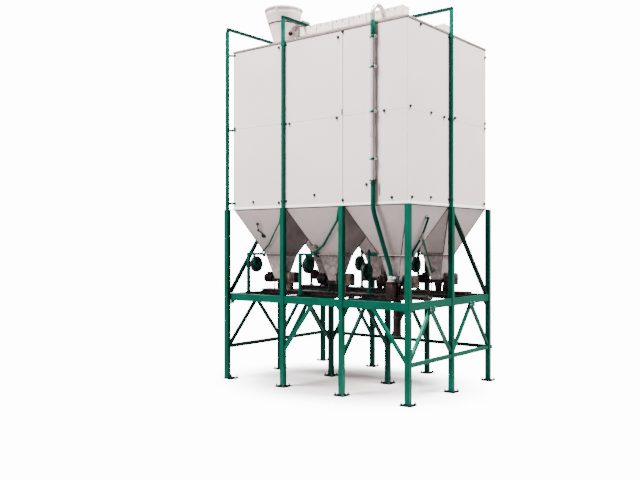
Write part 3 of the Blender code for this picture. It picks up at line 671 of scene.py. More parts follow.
def strap(bm, bolts, matrix):
    """A hat-shaped strap over a post whose wall lies on its local +Y side."""
    out, back = POST_HALF + STRAP_T, WALL_OFF - STRAP_LIFT

    def bar(x0, y0, x1, y1):
        flat_bar(bm, (x0, y0, -STRAP_HALF), (x1, y1, STRAP_HALF), FINE_EDGE, matrix)

    bar(-out, -out, out, -POST_HALF)
    for way in (-1, 1):
        bar(way * POST_HALF, -POST_HALF, way * out, back)
        bar(way * out, back - STRAP_T, way * EAR_REACH, back)
        at = matrix @ Vector((way * (EAR_REACH + out) / 2, back - STRAP_T, 0))
        fix(bolts, strap_bolt, at, matrix.to_3x3() @ Vector((0, -1, 0)))


strap_bolt = bolt_shape(STRAP_BOLT, 0.3)
straps, strap_bolts = bmesh.new(), bmesh.new()
strapped = ((line_x[1], line_y[0], 0), (line_x[1], line_y[2], 180),
            (line_x[0], 0.0, -90), (line_x[3], 0.0, 90))
cornered = ((line_x[0] - LEG_OUT, line_y[0] - LEG_OUT, -1, -1), (line_x[0], line_y[2], -1, 1))
for z in STRAP_LEVELS:
    low_z, high_z = z - STRAP_HALF, z + STRAP_HALF
    for x, y, turn in strapped:
        turned_to = Matrix.Rotation(math.radians(turn), 4, "Z")
        strap(straps, strap_bolts, Matrix.Translation((x, y, z)) @ turned_to)
    for x, y, way_x, way_y in cornered:
        post = Vector((x - way_x * POST_HALF, y - way_y * POST_HALF, z))
        corner = Vector((way_x * (FACE_X + STAY_CLEAR), way_y * (FACE_Y + STAY_CLEAR), z))
        reach = (corner - post).length + STAY_OVER
        aim = (corner - post).to_track_quat("X", "Z").to_matrix().to_4x4()
        lie = Matrix.Translation((post + corner) / 2) @ aim
        flat_bar(straps, (-reach / 2, -STRAP_T, -STRAP_HALF), (reach / 2, STRAP_T, STRAP_HALF),
                 FINE_EDGE, lie)
        out_x, out_y = way_x * (FACE_X + STRAP_T), way_y * (FACE_Y + STRAP_T)
        flat_bar(straps, (way_x * (FACE_X + STRAP_LIFT), way_y * (FACE_Y - CORNER_LAP), low_z),
                 (out_x, out_y, high_z), FINE_EDGE)
        flat_bar(straps, (way_x * (FACE_X - CORNER_LAP), way_y * (FACE_Y + STRAP_LIFT), low_z),
                 (out_x, out_y, high_z), FINE_EDGE)
        fix(strap_bolts, strap_bolt, (out_x, way_y * (FACE_Y - CORNER_BOLT), z), (way_x, 0, 0))
        fix(strap_bolts, strap_bolt, (way_x * (FACE_X - CORNER_BOLT), out_y, z), (0, way_y, 0))
piece("post_straps", straps, enamel)
piece("strap_bolts", strap_bolts, blacked)

# Hoppers: six pyramids of the same sheet, shop-welded along their corners, each with a lower funnel
# bolted on at a flange. The coat is painted darker towards the bottom as painted shade, the faces
# between two hoppers carry painted shade, painted shadow lines run under the foot rail and under the
# flange, the funnels are darker, and the corner seams have gone brown.
HOPPER_TONE = (0.610, 0.505, 0.497)
HOPPER_SHADE = (0.540, 0.440, 0.432)
HOPPER_PAINTED_SHADE_LOW = (0.330, 0.262, 0.256)
PAINTED_SHADOW_LINE_TONE = (0.110, 0.078, 0.074)
HOPPER_DIRT = (0.300, 0.250, 0.235)
FLANK_PAINTED_SHADE_TONE, FLANK_PAINTED_SHADE_DEEP = (0.230, 0.172, 0.170), (0.165, 0.118, 0.116)
FUNNEL_TONE, FUNNEL_SHADE = (0.320, 0.260, 0.256), (0.200, 0.158, 0.154)
GRIMY_TONE, GRIMY_SHADE = (0.215, 0.168, 0.164), (0.115, 0.084, 0.080)
SEAM_BROWN, SEAM_DEEP = (0.070, 0.046, 0.042), (0.030, 0.020, 0.018)
SEAM_HALF = 0.195
SEAM_LEVEL = 2.170
OUTLET_HALF = 0.085
COLLAR_LEVEL = 2.955
SHADOW_UNDER_RAIL_Z = (2.922, 2.925)
CORNER_BEAD = 0.009
FLANGE_BOLT = 0.010
HOPPER_EDGE = 0.0015
FLANGE_BOLT_OFF = 0.2075
FLANGE_BOLTS = (-0.19, -0.095, 0.0, 0.095, 0.19)
ROW_OFF = 0.650
ROWS = (("front", -1), ("back", 1))
UP, DOWN = (0, 0, 1), (0, 0, -1)
PAINTED_SHADE_FALL_Z = (2.900, 2.190)
FLANK_PAINTED_SHADE_X, FLANK_PAINTED_SHADE_Z = (1.300, 1.200), (2.170, 2.190)
FUNNEL_Z = (2.166, 2.162)
FLANGE_SHADOW_TOP_Z, FLANGE_SHADOW_FOOT_Z = (2.168, 2.164), (2.136, 2.142)


def make_hopper_coat(name, funnel_shade, funnel_tone):
    made, use = new_finish(name)
    cloud = use.ramp(use.noise(0.9, 3.0), [(0.35, HOPPER_SHADE), (0.65, HOPPER_TONE)])
    run = use.ramp(use.noise(5.0, 6.0, (7.0, 7.0, 0.35)), [(0.55, 0.0), (0.80, 0.45)])
    level = use.part("Z")
    # Painted shade: the sheet grows darker from the collar down to the flange.
    sheet = use.mix(use.share(level, *PAINTED_SHADE_FALL_Z), use.mix(run, cloud, HOPPER_DIRT), HOPPER_PAINTED_SHADE_LOW)
    # Painted shade: sideways faces between two hoppers are painted dark.
    sideways = use.share(use.reckon("ABSOLUTE", use.part("X", "Normal")), 0.60, 0.75)
    between = use.share(use.reckon("ABSOLUTE", use.part("X")), *FLANK_PAINTED_SHADE_X)
    painted_flank_shade = use.reckon("MULTIPLY", use.reckon("MULTIPLY", sideways, between), use.share(level, *FLANK_PAINTED_SHADE_Z))
    flank_shade_paint = use.ramp(use.noise(2.6, 5.0), [(0.35, FLANK_PAINTED_SHADE_DEEP), (0.65, FLANK_PAINTED_SHADE_TONE)])
    funnel = use.ramp(use.noise(16.0, 6.0), [(0.36, funnel_shade), (0.60, funnel_tone)])
    # Painted shadow: dark bands just under the foot rail and just under the flange.
    shadow_under_flange = use.reckon("MULTIPLY", use.share(level, *FLANGE_SHADOW_TOP_Z), use.share(level, *FLANGE_SHADOW_FOOT_Z))
    painted_shadow_lines = use.reckon("MAXIMUM", use.share(level, *SHADOW_UNDER_RAIL_Z), shadow_under_flange)
    coat = use.mix(use.share(level, *FUNNEL_Z), use.mix(painted_flank_shade, sheet, flank_shade_paint), funnel)
    use.join(use.mix(painted_shadow_lines, coat, PAINTED_SHADOW_LINE_TONE), "Base Color")
    finish_sheet(use)
    return made


def round_square(along, out):
    """Four spots round a square, at one distance along each side."""
    return (along, -out), (along, out), (-out, along), (out, along)


seam_coat = plain_finish("brown_seam", (24.0, 5.0), [(0.35, SEAM_DEEP), (0.65, SEAM_BROWN)],
                         ((60.0,), 0.5, 0.7), ((220.0,), 0.2, 0.0005))
hoppers = starting("hopper_")
dress(hoppers, make_hopper_coat("hopper_coat", FUNNEL_SHADE, FUNNEL_TONE), HOPPER_EDGE)
dress(["hopper_front_2", "hopper_back_1"], make_hopper_coat("grimy_hopper_coat", GRIMY_SHADE, GRIMY_TONE))
corner_welds, flange_bolts = bmesh.new(), bmesh.new()
flange_bolt = bolt_shape(FLANGE_BOLT, 0.4)
outlet_at = {}
for name in hoppers:
    low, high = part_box(name)
    row = -1 if "front" in name else 1
    number = int(name[-1])
    centre = Vector((line_x[number - 1] + (line_x[1] - line_x[0]) / 2, row * ROW_OFF, 0))
    outlet_at[name] = centre
    for a, b in CORNERS:
        top = Vector((low.x if a < 0 else high.x, low.y if b < 0 else high.y, COLLAR_LEVEL))
        seam = centre + Vector((a * SEAM_HALF, b * SEAM_HALF, SEAM_LEVEL))
        foot = centre + Vector((a * OUTLET_HALF, b * OUTLET_HALF, low.z))
        round_bar(corner_welds, top.lerp(seam, 0.012), top.lerp(seam, 0.992), CORNER_BEAD, 8)
        round_bar(corner_welds, seam.lerp(foot, 0.02), seam.lerp(foot, 0.995), CORNER_BEAD * 0.5, 8)
    for k in FLANGE_BOLTS:
        for dx, dy in round_square(k, FLANGE_BOLT_OFF):
            if abs(k) < FLANGE_BOLTS[-1] or dx == k:
                fix(flange_bolts, flange_bolt, centre + Vector((dx, dy, SEAM_LEVEL - 0.006)), DOWN)
piece("hopper_welds", corner_welds, seam_coat)
piece("flange_bolts", flange_bolts, zinc)

# Outlets: under each funnel a bolted flange carries a slide gate on four short legs over the trough,
# with a spout between them. A ball lever locks it. A finned motor on one side and a cast gearbox on
# the other turn the stirrer above the gate. All have a maroon coat, now almost black with grime.
GATE_HALF = 0.112
GATE_BODY = 0.098
GATE_FLANGE_T = 0.010
GATE_BODY_H = 0.046
SPOUT_TOP, SPOUT_FOOT = 0.070, 0.050
LEVER_AT, LEVER_REACH = (0.100, 0.116, 0.020), (0.035, 0.050, 0.150)
LEVER_R, KNOB_R = 0.010, 0.025
MOTOR_REACH = (0.200, 0.355)
MOTOR_R = 0.080
MOTOR_Z = 1.745
SHAFT_Z = 1.710
SHAFT_R = 0.028
BOX_REACH = (0.128, 0.345)
BOX_HALF = 0.065
BOX_Z = (1.665, 1.860)
STAND_REACH = (0.090, 0.240)
STAND_HALF = 0.045
SOLE_T = 0.009
TROUGH_TOP = 1.550
GATE_SIDE, GATE_LEG_R = 0.104, 0.009
GATE_BOLTS, GATE_BOLT_OFF = (-0.098, 0.0, 0.098), 0.103
MOTOR_FINS, MOTOR_FIN = 7, 0.012
BOX_HUB_R = 0.052
IRON_TONES = ((0.003, 0.0015, 0.0015), (0.010, 0.0035, 0.0035), (0.055, 0.018, 0.017))
BROWN_TONES = ((0.010, 0.006, 0.005), (0.046, 0.028, 0.024), (0.160, 0.105, 0.092))


def make_iron(name, grime, coat, worn):
    return plain_finish(name, (9.0, 6.0), [(0.36, grime), (0.55, coat), (0.78, worn)],
                        ((22.0, 4.0), 0.38, 0.65), ((130.0, 4.0), 0.25, 0.0010), gloss=0.14)


def block(bm, x, y, half_x, half_y, low_z, high_z, edge, **more):
    """A flat bar round an upright line, from its half sizes and its levels."""
    flat_bar(bm, (x - half_x, y - half_y, low_z), (x + half_x, y + half_y, high_z), edge, **more)


def slab(bm, start_x, end_x, y, half_y, low_z, high_z, edge, **more):
    """A flat bar along a level line across the bays, from its ends, half width and levels."""
    flat_bar(bm, (start_x, y - half_y, low_z), (end_x, y + half_y, high_z), edge, **more)


def axle(bm, start_x, end_x, y, z, radius, sides, edge=0.0):
    """A round bar on a level line across the bays."""
    round_bar(bm, (start_x, y, z), (end_x, y, z), radius, sides, edge=edge)


def ball(bm, centre, radius):
    """A round knob."""
    bmesh.ops.create_uvsphere(bm, u_segments=14, v_segments=10, radius=radius,
                              matrix=Matrix.Translation(centre))


def finned(bm, start, end, radius, fins, fin_depth):
    """A motor frame: a smooth barrel with ring fins, an end bell and a fan cowl."""
    start, end = Vector(start), Vector(end)
    whole = end - start
    round_bar(bm, start, end, radius - fin_depth, 24)
    round_bar(bm, start, start + whole * 0.10, radius * 0.86, 24, edge=radius * 0.06)
    round_bar(bm, start + whole * 0.80, end, radius * 0.98, 24, edge=radius * 0.10)
    thin = whole * (0.30 / fins)
    for k in range(fins):
        at = start + whole * (0.14 + 0.64 * k / (fins - 1))
        round_bar(bm, at, at + thin, radius, 24, edge=min(0.0015, thin.length * 0.3))


iron = make_iron("maroon_iron", *IRON_TONES)
brown_iron = make_iron("brown_cast_iron", *BROWN_TONES)
for row, side in ROWS:
    gates, gate_bolts, levers, stirrers, gearboxes = (bmesh.new() for _ in range(5))
    for i in (1, 2, 3):
        hopper = f"hopper_{row}_{i}"
        x, y = outlet_at[hopper].x, outlet_at[hopper].y
        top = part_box(hopper)[0].z - 0.0005
        flange = top - GATE_FLANGE_T
        body_foot = flange - GATE_BODY_H
        block(gates, x, y, GATE_HALF, GATE_HALF, flange, top, PLATE_EDGE)
        block(gates, x, y, GATE_BODY, GATE_BODY, body_foot, flange, 0.006)
        drum(gates, x, y, body_foot, TROUGH_TOP, SPOUT_TOP, 24, far_radius=SPOUT_FOOT)
        for a in (-1, 1):
            for b in (-1, 1):
                round_bar(gates, (x + a * 0.078, y + b * 0.086, body_foot),
                          (x + a * 0.080, y + b * GATE_SIDE, TROUGH_TOP), GATE_LEG_R, 10)
            slab(gates, x - 0.094, x + 0.120, y + a * GATE_SIDE, 0.006, body_foot + 0.006, body_foot + 0.030,
                 PLATE_EDGE)
        for k in GATE_BOLTS:
            for dx, dy in round_square(k, GATE_BOLT_OFF):
                fix(gate_bolts, flange_bolt, (x + dx, y + dy, flange), DOWN)
        pivot = Vector((x + LEVER_AT[0], y + side * LEVER_AT[1], body_foot + LEVER_AT[2]))
        knob = pivot + Vector((LEVER_REACH[0], side * LEVER_REACH[1], LEVER_REACH[2]))
        round_bar(levers, pivot - Vector((0, side * 0.016, 0)), pivot + Vector((0, side * 0.018, 0)),
                  LEVER_R * 2, 16, edge=CAST_EDGE)
        round_bar(levers, pivot, knob, LEVER_R, 10, LEVER_R * 0.7)
        ball(levers, knob, KNOB_R)

        near, far = x - MOTOR_REACH[0], x - MOTOR_REACH[1]
        finned(stirrers, (near, y, MOTOR_Z), (far, y, MOTOR_Z), MOTOR_R, MOTOR_FINS, MOTOR_FIN)
        axle(stirrers, near - 0.005, x - GATE_BODY, y, SHAFT_Z, SHAFT_R, 20, CAST_EDGE)
        axle(stirrers, near + 0.030, near + 0.052, y, SHAFT_Z, SHAFT_R * 1.5, 20, CAST_EDGE)
        motor_top = MOTOR_Z + MOTOR_R
        slab(stirrers, far + 0.045, near - 0.030, y, 0.034, motor_top - 0.014, motor_top + 0.026, 0.005)

        near, far = x + BOX_REACH[0], x + BOX_REACH[1]
        box_foot, box_top = BOX_Z
        seam_z = (box_foot + box_top) / 2
        slab(gearboxes, near, far, y, BOX_HALF, box_foot, box_top - 0.012, 0.010, segments=3)
        slab(gearboxes, near + 0.010, far - 0.010, y, BOX_HALF - 0.012, box_top - 0.014, box_top, CAST_EDGE)
        slab(gearboxes, near - 0.006, far + 0.006, y, BOX_HALF + 0.008, seam_z - 0.007, seam_z + 0.007,
             PLATE_EDGE)
        hub_x, hub_z = near * 0.4 + far * 0.6, seam_z + 0.010
        for way in (-1, 1):
            round_bar(gearboxes, (hub_x, y + way * (BOX_HALF - 0.004), hub_z),
                      (hub_x, y + way * (BOX_HALF + 0.010), hub_z), BOX_HUB_R, 24, edge=CAST_EDGE)
            for k in (-1, 0, 1):
                rib_x = (near + far) / 2 + k * 0.070
                flat_bar(gearboxes, (rib_x - 0.004, y + way * (BOX_HALF - 0.002), box_foot + 0.006),
                         (rib_x + 0.004, y + way * (BOX_HALF + 0.006), seam_z), FINE_EDGE)
        axle(gearboxes, x + GATE_BODY - 0.004, near + 0.002, y, SHAFT_Z, SHAFT_R, 20)
        near, far = x + STAND_REACH[0], x + STAND_REACH[1]
        sole = TROUGH_TOP + SOLE_T
        slab(gearboxes, near + 0.012, far, y, STAND_HALF, TROUGH_TOP, box_foot + 0.002, CAST_EDGE)
        slab(gearboxes, near + 0.012, far + 0.025, y, STAND_HALF + 0.020, TROUGH_TOP, sole, PLATE_EDGE)
        for dx in (0.035, 0.135):
            for dy in (-0.055, 0.055):
                fix(gate_bolts, flange_bolt, (near + dx, y + dy, sole), UP)
    piece(f"gates_{row}", gates, iron)
    piece(f"gate_bolts_{row}", gate_bolts, blacked)
    piece(f"gate_levers_{row}", levers, blacked)
    piece(f"stirrer_motors_{row}", stirrers, iron)
    piece(f"stirrer_gearboxes_{row}", gearboxes, brown_iron)

# Troughs: closed screw troughs in bolted lengths, with lipped lids held by toggle clamps, a bearing
# plate at each end and a stub of the screw's shaft. The down pipe runs into a box beside the last gate.
TROUGH_HALF = 0.100
LIP_HALF = 0.128
LID_T = 0.005
CLAMPS_PER_SIDE = 13
CLAMP_END = 0.08
LID_JOINT = 0.15
SHAFT_RISE = 0.031
BOOT_LOW, BOOT_HIGH = Vector((1.14, -0.885, 1.490)), Vector((1.26, -0.765, 1.7597))
BOOT_LIP, BOOT_LIP_T = 0.012, 0.010
for row, side in ROWS:
    low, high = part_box(f"trough_{row}")
    y = side * ROW_OFF
    shell, trim = bmesh.new(), bmesh.new()
    start, end = low.x + 0.010, high.x - 0.010
    lip = TROUGH_TOP - LID_T - 0.004
    slab(shell, start, end, y, TROUGH_HALF, low.z, lip, 0.012, segments=4)
    slab(shell, start, end, y, LIP_HALF, lip - 0.004, lip, FINE_EDGE)
    lid_edges = [start, line_x[1] - LID_JOINT, line_x[2] - LID_JOINT, end]
    for a, b in zip(lid_edges, lid_edges[1:]):
        slab(shell, a + 0.002, b - 0.002, y, LIP_HALF, lip, TROUGH_TOP, 0.0015)
        if b < end:
            slab(shell, b - 0.012, b, y, LIP_HALF + 0.001, low.z + 0.002, TROUGH_TOP + 0.004, FINE_EDGE)
    shaft_z = low.z + SHAFT_RISE
    for at, way in ((start, -1), (end, 1)):
        slab(shell, at, at + way * 0.010, y, LIP_HALF, low.z + 0.001, TROUGH_TOP + 0.006, PLATE_EDGE)
        axle(trim, at + way * 0.006, at + way * 0.032, y, shaft_z, 0.026, 20, BAR_EDGE)
        axle(trim, at + way * 0.030, at + way * 0.060, y, shaft_z, 0.012, 14, PLATE_EDGE)
    for k in range(CLAMPS_PER_SIDE):
        x = start + CLAMP_END + (end - start - 2 * CLAMP_END) * k / (CLAMPS_PER_SIDE - 1)
        for b in (-1, 1):
            edge_y = y + b * LIP_HALF
            flat_bar(trim, (x - 0.012, edge_y - 0.010, lip - 0.012),
                     (x + 0.012, edge_y + 0.004, TROUGH_TOP + 0.005), PLATE_EDGE)
            axle(trim, x - 0.016, x + 0.016, edge_y + b * 0.004, TROUGH_TOP - 0.002, 0.005, 8)
    if row == "front":
        flat_bar(shell, BOOT_LOW, BOOT_HIGH - Vector((0, 0, BOOT_LIP_T)), 0.006)
        flat_bar(shell, (BOOT_LOW.x - BOOT_LIP, BOOT_LOW.y - BOOT_LIP, BOOT_HIGH.z - BOOT_LIP_T),
                 (BOOT_HIGH.x + BOOT_LIP, BOOT_HIGH.y + BOOT_LIP, BOOT_HIGH.z - 0.0002), PLATE_EDGE)
    piece(f"trough_shell_{row}", shell, iron, [f"trough_{row}"])
    piece(f"trough_clamps_{row}", trim, blacked)

# Drives: a green stand carries an arm to the hopper's flange and the bearing of a belt wheel. The
# first two of the front row stand on the cross beams, the others on the trough's edge. The wheels
# are cast: a black grooved rim, and a web with six ribs and a hub in the green enamel.
PEDESTAL_HALF = 0.025
SLIM_HALF = 0.0175
ARM_HALF = 0.020
HANGER_HALF = 0.018
STAND_FOOT_T = 0.008
WHEEL_Y = 0.755
WHEEL_Z = 1.985
WHEEL_DROP = 0.080
WHEEL_STEP = 0.095
BEARING_OFF = 0.045
RIM_PROFILE = ((-0.023, 0.114), (-0.023, 0.140), (-0.021, 0.142), (-0.013, 0.142), (-0.008, 0.128),
               (0.008, 0.128), (0.013, 0.142), (0.021, 0.142), (0.023, 0.140), (0.023, 0.114),
               (0.021, 0.111), (-0.021, 0.111))
WEB_R, WEB_HALF = 0.1125, 0.006
HUB_R = 0.062
HUB_OFFSETS = (-0.055, 0.022)
WHEEL_SHAFT_R = 0.020
WHEEL_SHAFT_END = 0.074
WHEEL_RIBS = 6
EYE_HALF, EYE_RISE, EYE_T = 0.042, 0.072, 0.010
STAND_OUT = 0.860
END_PLATE = (0.008, 0.034, 0.065)
BLACK_COAT, BLACK_DEEP = (0.016, 0.017, 0.018), (0.008, 0.009, 0.010)


def fix_pair(bm, at, off, way):
    """Two bolts, one on each side of a spot."""
    for side in (-1, 1):
        fix(bm, flange_bolt, Vector(at) + side * Vector(off), way)


def turned(bm, centre, profile, sides=40):
    """A ring turned about a level axis along X, from a closed profile of offsets and radii."""
    turns = [2 * math.pi * k / sides for k in range(sides)]
    rings = [[bm.verts.new(centre + Vector((offset, radius * math.cos(t), radius * math.sin(t))))
              for t in turns] for offset, radius in profile]
    for low_ring, high_ring in zip(rings, rings[1:] + rings[:1]):
        for k in range(sides):
            n = (k + 1) % sides
            bm.faces.new((low_ring[k], low_ring[n], high_ring[n], high_ring[k]))


black_coat = plain_finish("black_wheel_coat", (12.0, 5.0), [(0.35, BLACK_DEEP), (0.72, BLACK_COAT)],
                          ((30.0,), 0.34, 0.55), ((160.0, 3.0), 0.18, 0.0006))
for row, side in ROWS:
    for i in (1, 2, 3):
        node = f"drive_{row}_{i}"
        low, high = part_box(node)
        foot_z, arm_top = low.z, high.z
        foot_top = foot_z + STAND_FOOT_T
        wheel = Vector((line_x[i - 1] + WHEEL_STEP, side * WHEEL_Y, WHEEL_Z))
        if (row, i) == ("front", 3):
            wheel.z -= WHEEL_DROP
        beside = wheel.x + BEARING_OFF
        on_beam = row == "front" and i < 3
        x, y, p = beside, wheel.y, SLIM_HALF
        if on_beam:
            x, y, p = line_x[i - 1], side * STAND_OUT, PEDESTAL_HALF
        stand, rims, webs, bolts = (bmesh.new() for _ in range(4))
        block(stand, x, y, p, p, foot_top, arm_top - 0.002, BAR_EDGE)
        long_x, long_y = (0.029, 0.060) if on_beam else (0.046, 0.021)
        block(stand, x, y, long_x, long_y, foot_z, foot_top, FINE_EDGE)
        fix_pair(bolts, (x, y, foot_top), (0, 0.045, 0) if on_beam else (0.032, 0, 0), UP)
        slab(stand, x - p, high.x, y, ARM_HALF, arm_top - 2 * ARM_HALF, arm_top, BAR_EDGE)
        plate_t, plate_half, plate_h = END_PLATE
        slab(stand, high.x - plate_t, high.x, y, plate_half, arm_top - plate_h, arm_top, FINE_EDGE)
        fix_pair(bolts, (high.x - plate_t, y, arm_top - 0.052), (0, 0.027, 0), (-1, 0, 0))
        if on_beam:
            h = HANGER_HALF
            block(stand, beside, y, h, h, wheel.z - h, arm_top - h, CAST_EDGE)
            flat_bar(stand, (beside - h, y, wheel.z - h), (beside + h, wheel.y, wheel.z + h), CAST_EDGE)
        else:
            eye = [(-EYE_HALF, -0.002), (EYE_HALF, -0.002),
                   (EYE_HALF * 0.3, EYE_RISE), (-EYE_HALF * 0.3, EYE_RISE)]
            plate(stand, [Vector((x + dx, y, arm_top + dz)) for dx, dz in eye], Vector((0, EYE_T / 2, 0)))
        slab(stand, beside - 0.020, beside + 0.022, wheel.y, 0.046, wheel.z - 0.034, wheel.z + 0.034,
             0.008, segments=3)
        fix_pair(bolts, (beside + 0.022, wheel.y, wheel.z), (0, 0.034, 0), (1, 0, 0))
        turned(rims, wheel, RIM_PROFILE)
        axle(webs, wheel.x - WEB_HALF, wheel.x + WEB_HALF, wheel.y, wheel.z, WEB_R, 40)
        hub_start, hub_end = (wheel.x + offset for offset in HUB_OFFSETS)
        axle(webs, hub_start, hub_end, wheel.y, wheel.z, HUB_R, 28, 0.005)
        axle(rims, hub_start - 0.012, wheel.x + WHEEL_SHAFT_END, wheel.y, wheel.z, WHEEL_SHAFT_R, 18,
             CAST_EDGE)
        for k in range(WHEEL_RIBS):
            rib = Matrix.Translation(wheel) @ Matrix.Rotation(2 * math.pi * k / WHEEL_RIBS, 4, "X")
            flat_bar(webs, (-0.016, -0.005, HUB_R - 0.004), (0.016, 0.005, WEB_R + 0.001), FINE_EDGE, rib)
            fix(bolts, flange_bolt, rib @ Vector((HUB_OFFSETS[0], 0, HUB_R * 0.72)), (-1, 0, 0))
        piece(f"drive_stand_{row}_{i}", stand, enamel, [node])
        piece(f"wheel_rim_{row}_{i}", rims, black_coat)
        piece(f"wheel_web_{row}_{i}", webs, enamel)
        piece(f"drive_bolts_{row}_{i}", bolts, blacked)

# Filling pipe: a plain steel riser with couplings, held off the wall by bracket clamps, and below it
# an enamelled pipe that bends in under the bin to the trough. A shut-off with a pale body, a blue
# cap and a cross handle sits on the pipe's foot.
RISER_AT = (1.200, -1.325)
RISER_R = 0.033
RISER_FOOT = 3.285
SLEEVE_Z = (5.475, 5.700)
COUPLINGS_Z = (3.980, 5.085)
CLAMPS_Z = (3.620, 4.330, 5.000, 5.450)
CLAMP_EAR = 0.049
CLAMP_HALF = 0.018
BRACKET_Y = -1.2712
COUPLING_HALF, COUPLING_RING = 0.035, 0.024
FLANGE_T = 0.016
FLANGE_R, FLANGE_PITCH_R = (0.050, 0.054), 0.045
PIPE_FOOT = (1.200, -0.825, 1.760)
DOWN_R = 0.035
STEEL, STEEL_DULL = (0.430, 0.410, 0.400), (0.300, 0.280, 0.270)
VALVE_CREAM, VALVE_BLUE = (0.450, 0.420, 0.340), (0.020, 0.070, 0.140)
WORN_SHARE = 0.45


def make_valve_coat(name, colour):
    worn = tuple(WORN_SHARE * value for value in colour)
    return plain_finish(name, (45.0, 5.0), [(0.34, worn), (0.6, colour)],
                        ((60.0,), 0.35, 0.55), ((160.0,), 0.15, 0.0004))


def bolt_ring(bm, x, y, z, radius, count, way, start=0.0):
    """Bolts at even turns on a level circle."""
    for k in range(count):
        turn = start + 2 * math.pi * k / count
        fix(bm, flange_bolt, (x + radius * math.cos(turn), y + radius * math.sin(turn), z), way)


steel = plain_finish("pipe_steel", (7.0, 5.0, (1, 1, 0.2)), [(0.35, STEEL_DULL), (0.7, STEEL)],
                     ((30.0,), 0.30, 0.46), ((180.0,), 0.12, 0.0004), metal=0.75)
dress(["riser_pipe"], steel)
dress(["down_pipe"], enamel)
couplings, clamps, clamp_bolts = (bmesh.new() for _ in range(3))
rx, ry = RISER_AT
for z in COUPLINGS_Z:
    drum(couplings, rx, ry, z - COUPLING_HALF, z + COUPLING_HALF, RISER_R + 0.005, 24, PLATE_EDGE)
    for k in (-COUPLING_RING, COUPLING_RING):
        drum(couplings, rx, ry, z + k - 0.005, z + k + 0.005, RISER_R + 0.009, 24, PLATE_EDGE)
drum(clamps, rx, ry, *SLEEVE_Z, RISER_R + 0.006, 24, PLATE_EDGE)
for z in CLAMPS_Z:
    drum(clamps, rx, ry, z - CLAMP_HALF, z + CLAMP_HALF, RISER_R + 0.004, 24, FINE_EDGE)
    for a in (-1, 1):
        flat_bar(clamps, (rx + a * (RISER_R - 0.002), ry - 0.008, z - CLAMP_HALF),
                 (rx + a * 0.056, ry + 0.004, z + CLAMP_HALF), PLATE_EDGE)
        ear = rx + a * CLAMP_EAR
        flat_bar(clamps, (ear - 0.004, ry, z - 0.016), (ear + 0.004, BRACKET_Y, z + 0.016), FINE_EDGE)
        fix(clamp_bolts, flange_bolt, (ear, ry - 0.008, z), (0, -1, 0))
for low_z, radius in zip((RISER_FOOT - 0.035, RISER_FOOT + 0.001), FLANGE_R):
    drum(clamps, rx, ry, low_z, low_z + FLANGE_T, radius, 24, PLATE_EDGE)
bolt_ring(clamp_bolts, rx, ry, RISER_FOOT + 0.017, FLANGE_PITCH_R, 4, UP, math.pi / 4)
piece("riser_couplings", couplings, steel)
piece("riser_clamps", clamps, enamel)
piece("riser_clamp_bolts", clamp_bolts, blacked)
valve, valve_cap, valve_handle = (bmesh.new() for _ in range(3))
vx, vy, vz = PIPE_FOOT
stem_z, body_top = vz + 0.052, vz + 0.090
drum(valve, vx, vy, vz + 0.002, vz + 0.014, 0.062, 24, PLATE_EDGE)
drum(valve, vx, vy, vz + 0.014, body_top, DOWN_R + 0.014, 24, 0.006)
axle(valve, vx, vx + 0.082, vy, stem_z, 0.026, 20, CAST_EDGE)
axle(valve_cap, vx + 0.078, vx + 0.100, vy, stem_z, 0.031, 20, BAR_EDGE)
axle(valve_handle, vx + 0.098, vx + 0.122, vy, stem_z, 0.009, 12, FINE_EDGE)
slab(valve_handle, vx + 0.116, vx + 0.126, vy, 0.034, vz + 0.044, vz + 0.060, CAST_EDGE)
drum(valve_handle, vx, vy, body_top, vz + 0.106, DOWN_R + 0.008, 24, PLATE_EDGE)
piece("foot_valve_body", valve, make_valve_coat("cream_valve_coat", VALVE_CREAM))
piece("foot_valve_cap", valve_cap, make_valve_coat("blue_valve_coat", VALVE_BLUE))
piece("foot_valve_handle", valve_handle, enamel)

# Branch pipe: a thin enamelled pipe that leaves a socket on the last front hopper and forks to its
# flange and to the funnel behind. The fork is a pale zinc fitting with a sleeve on each arm.
BRANCH_SEAT = Vector((1.6739, -0.573, 2.7629))
BRANCH_ELBOW = Vector((1.7142, -0.573, 2.7437))
BRANCH_FORK = Vector((1.5823, -0.539, 2.4657))
BRANCH_EDGE = Vector((1.4383, -0.573, 2.2150))
BRANCH_FAR = (Vector((1.180, 0.4685, 1.8729)), Vector((1.180, 0.5266, 1.8880)))
SEAT_R = 0.038
SLEEVE_R = 0.0235
SLEEVE_L = 0.060
dress(["branch_pipe"], enamel)
fork_fitting = bmesh.new()
for aim in (BRANCH_ELBOW, BRANCH_EDGE, BRANCH_FAR[0]):
    arm = (aim - BRANCH_FORK).normalized()
    round_bar(fork_fitting, BRANCH_FORK, BRANCH_FORK + arm * SLEEVE_L, SLEEVE_R, 16, edge=FINE_EDGE)
    round_bar(fork_fitting, BRANCH_FORK + arm * (SLEEVE_L - 0.008), BRANCH_FORK + arm * (SLEEVE_L + 0.004),
              SLEEVE_R + 0.004, 6, edge=FINE_EDGE)
ball(fork_fitting, BRANCH_FORK, SLEEVE_R + 0.002)
for seat, toward in ((BRANCH_SEAT, BRANCH_ELBOW), (BRANCH_FAR[1], BRANCH_FAR[0])):
    arm = (toward - seat).normalized()
    round_bar(fork_fitting, seat + arm * 0.001, seat + arm * 0.010, SEAT_R, 20, edge=FINE_EDGE)
    round_bar(fork_fitting, seat + arm * 0.010, seat + arm * 0.030, SLEEVE_R, 6, edge=FINE_EDGE)
piece("branch_fittings", fork_fitting, zinc)

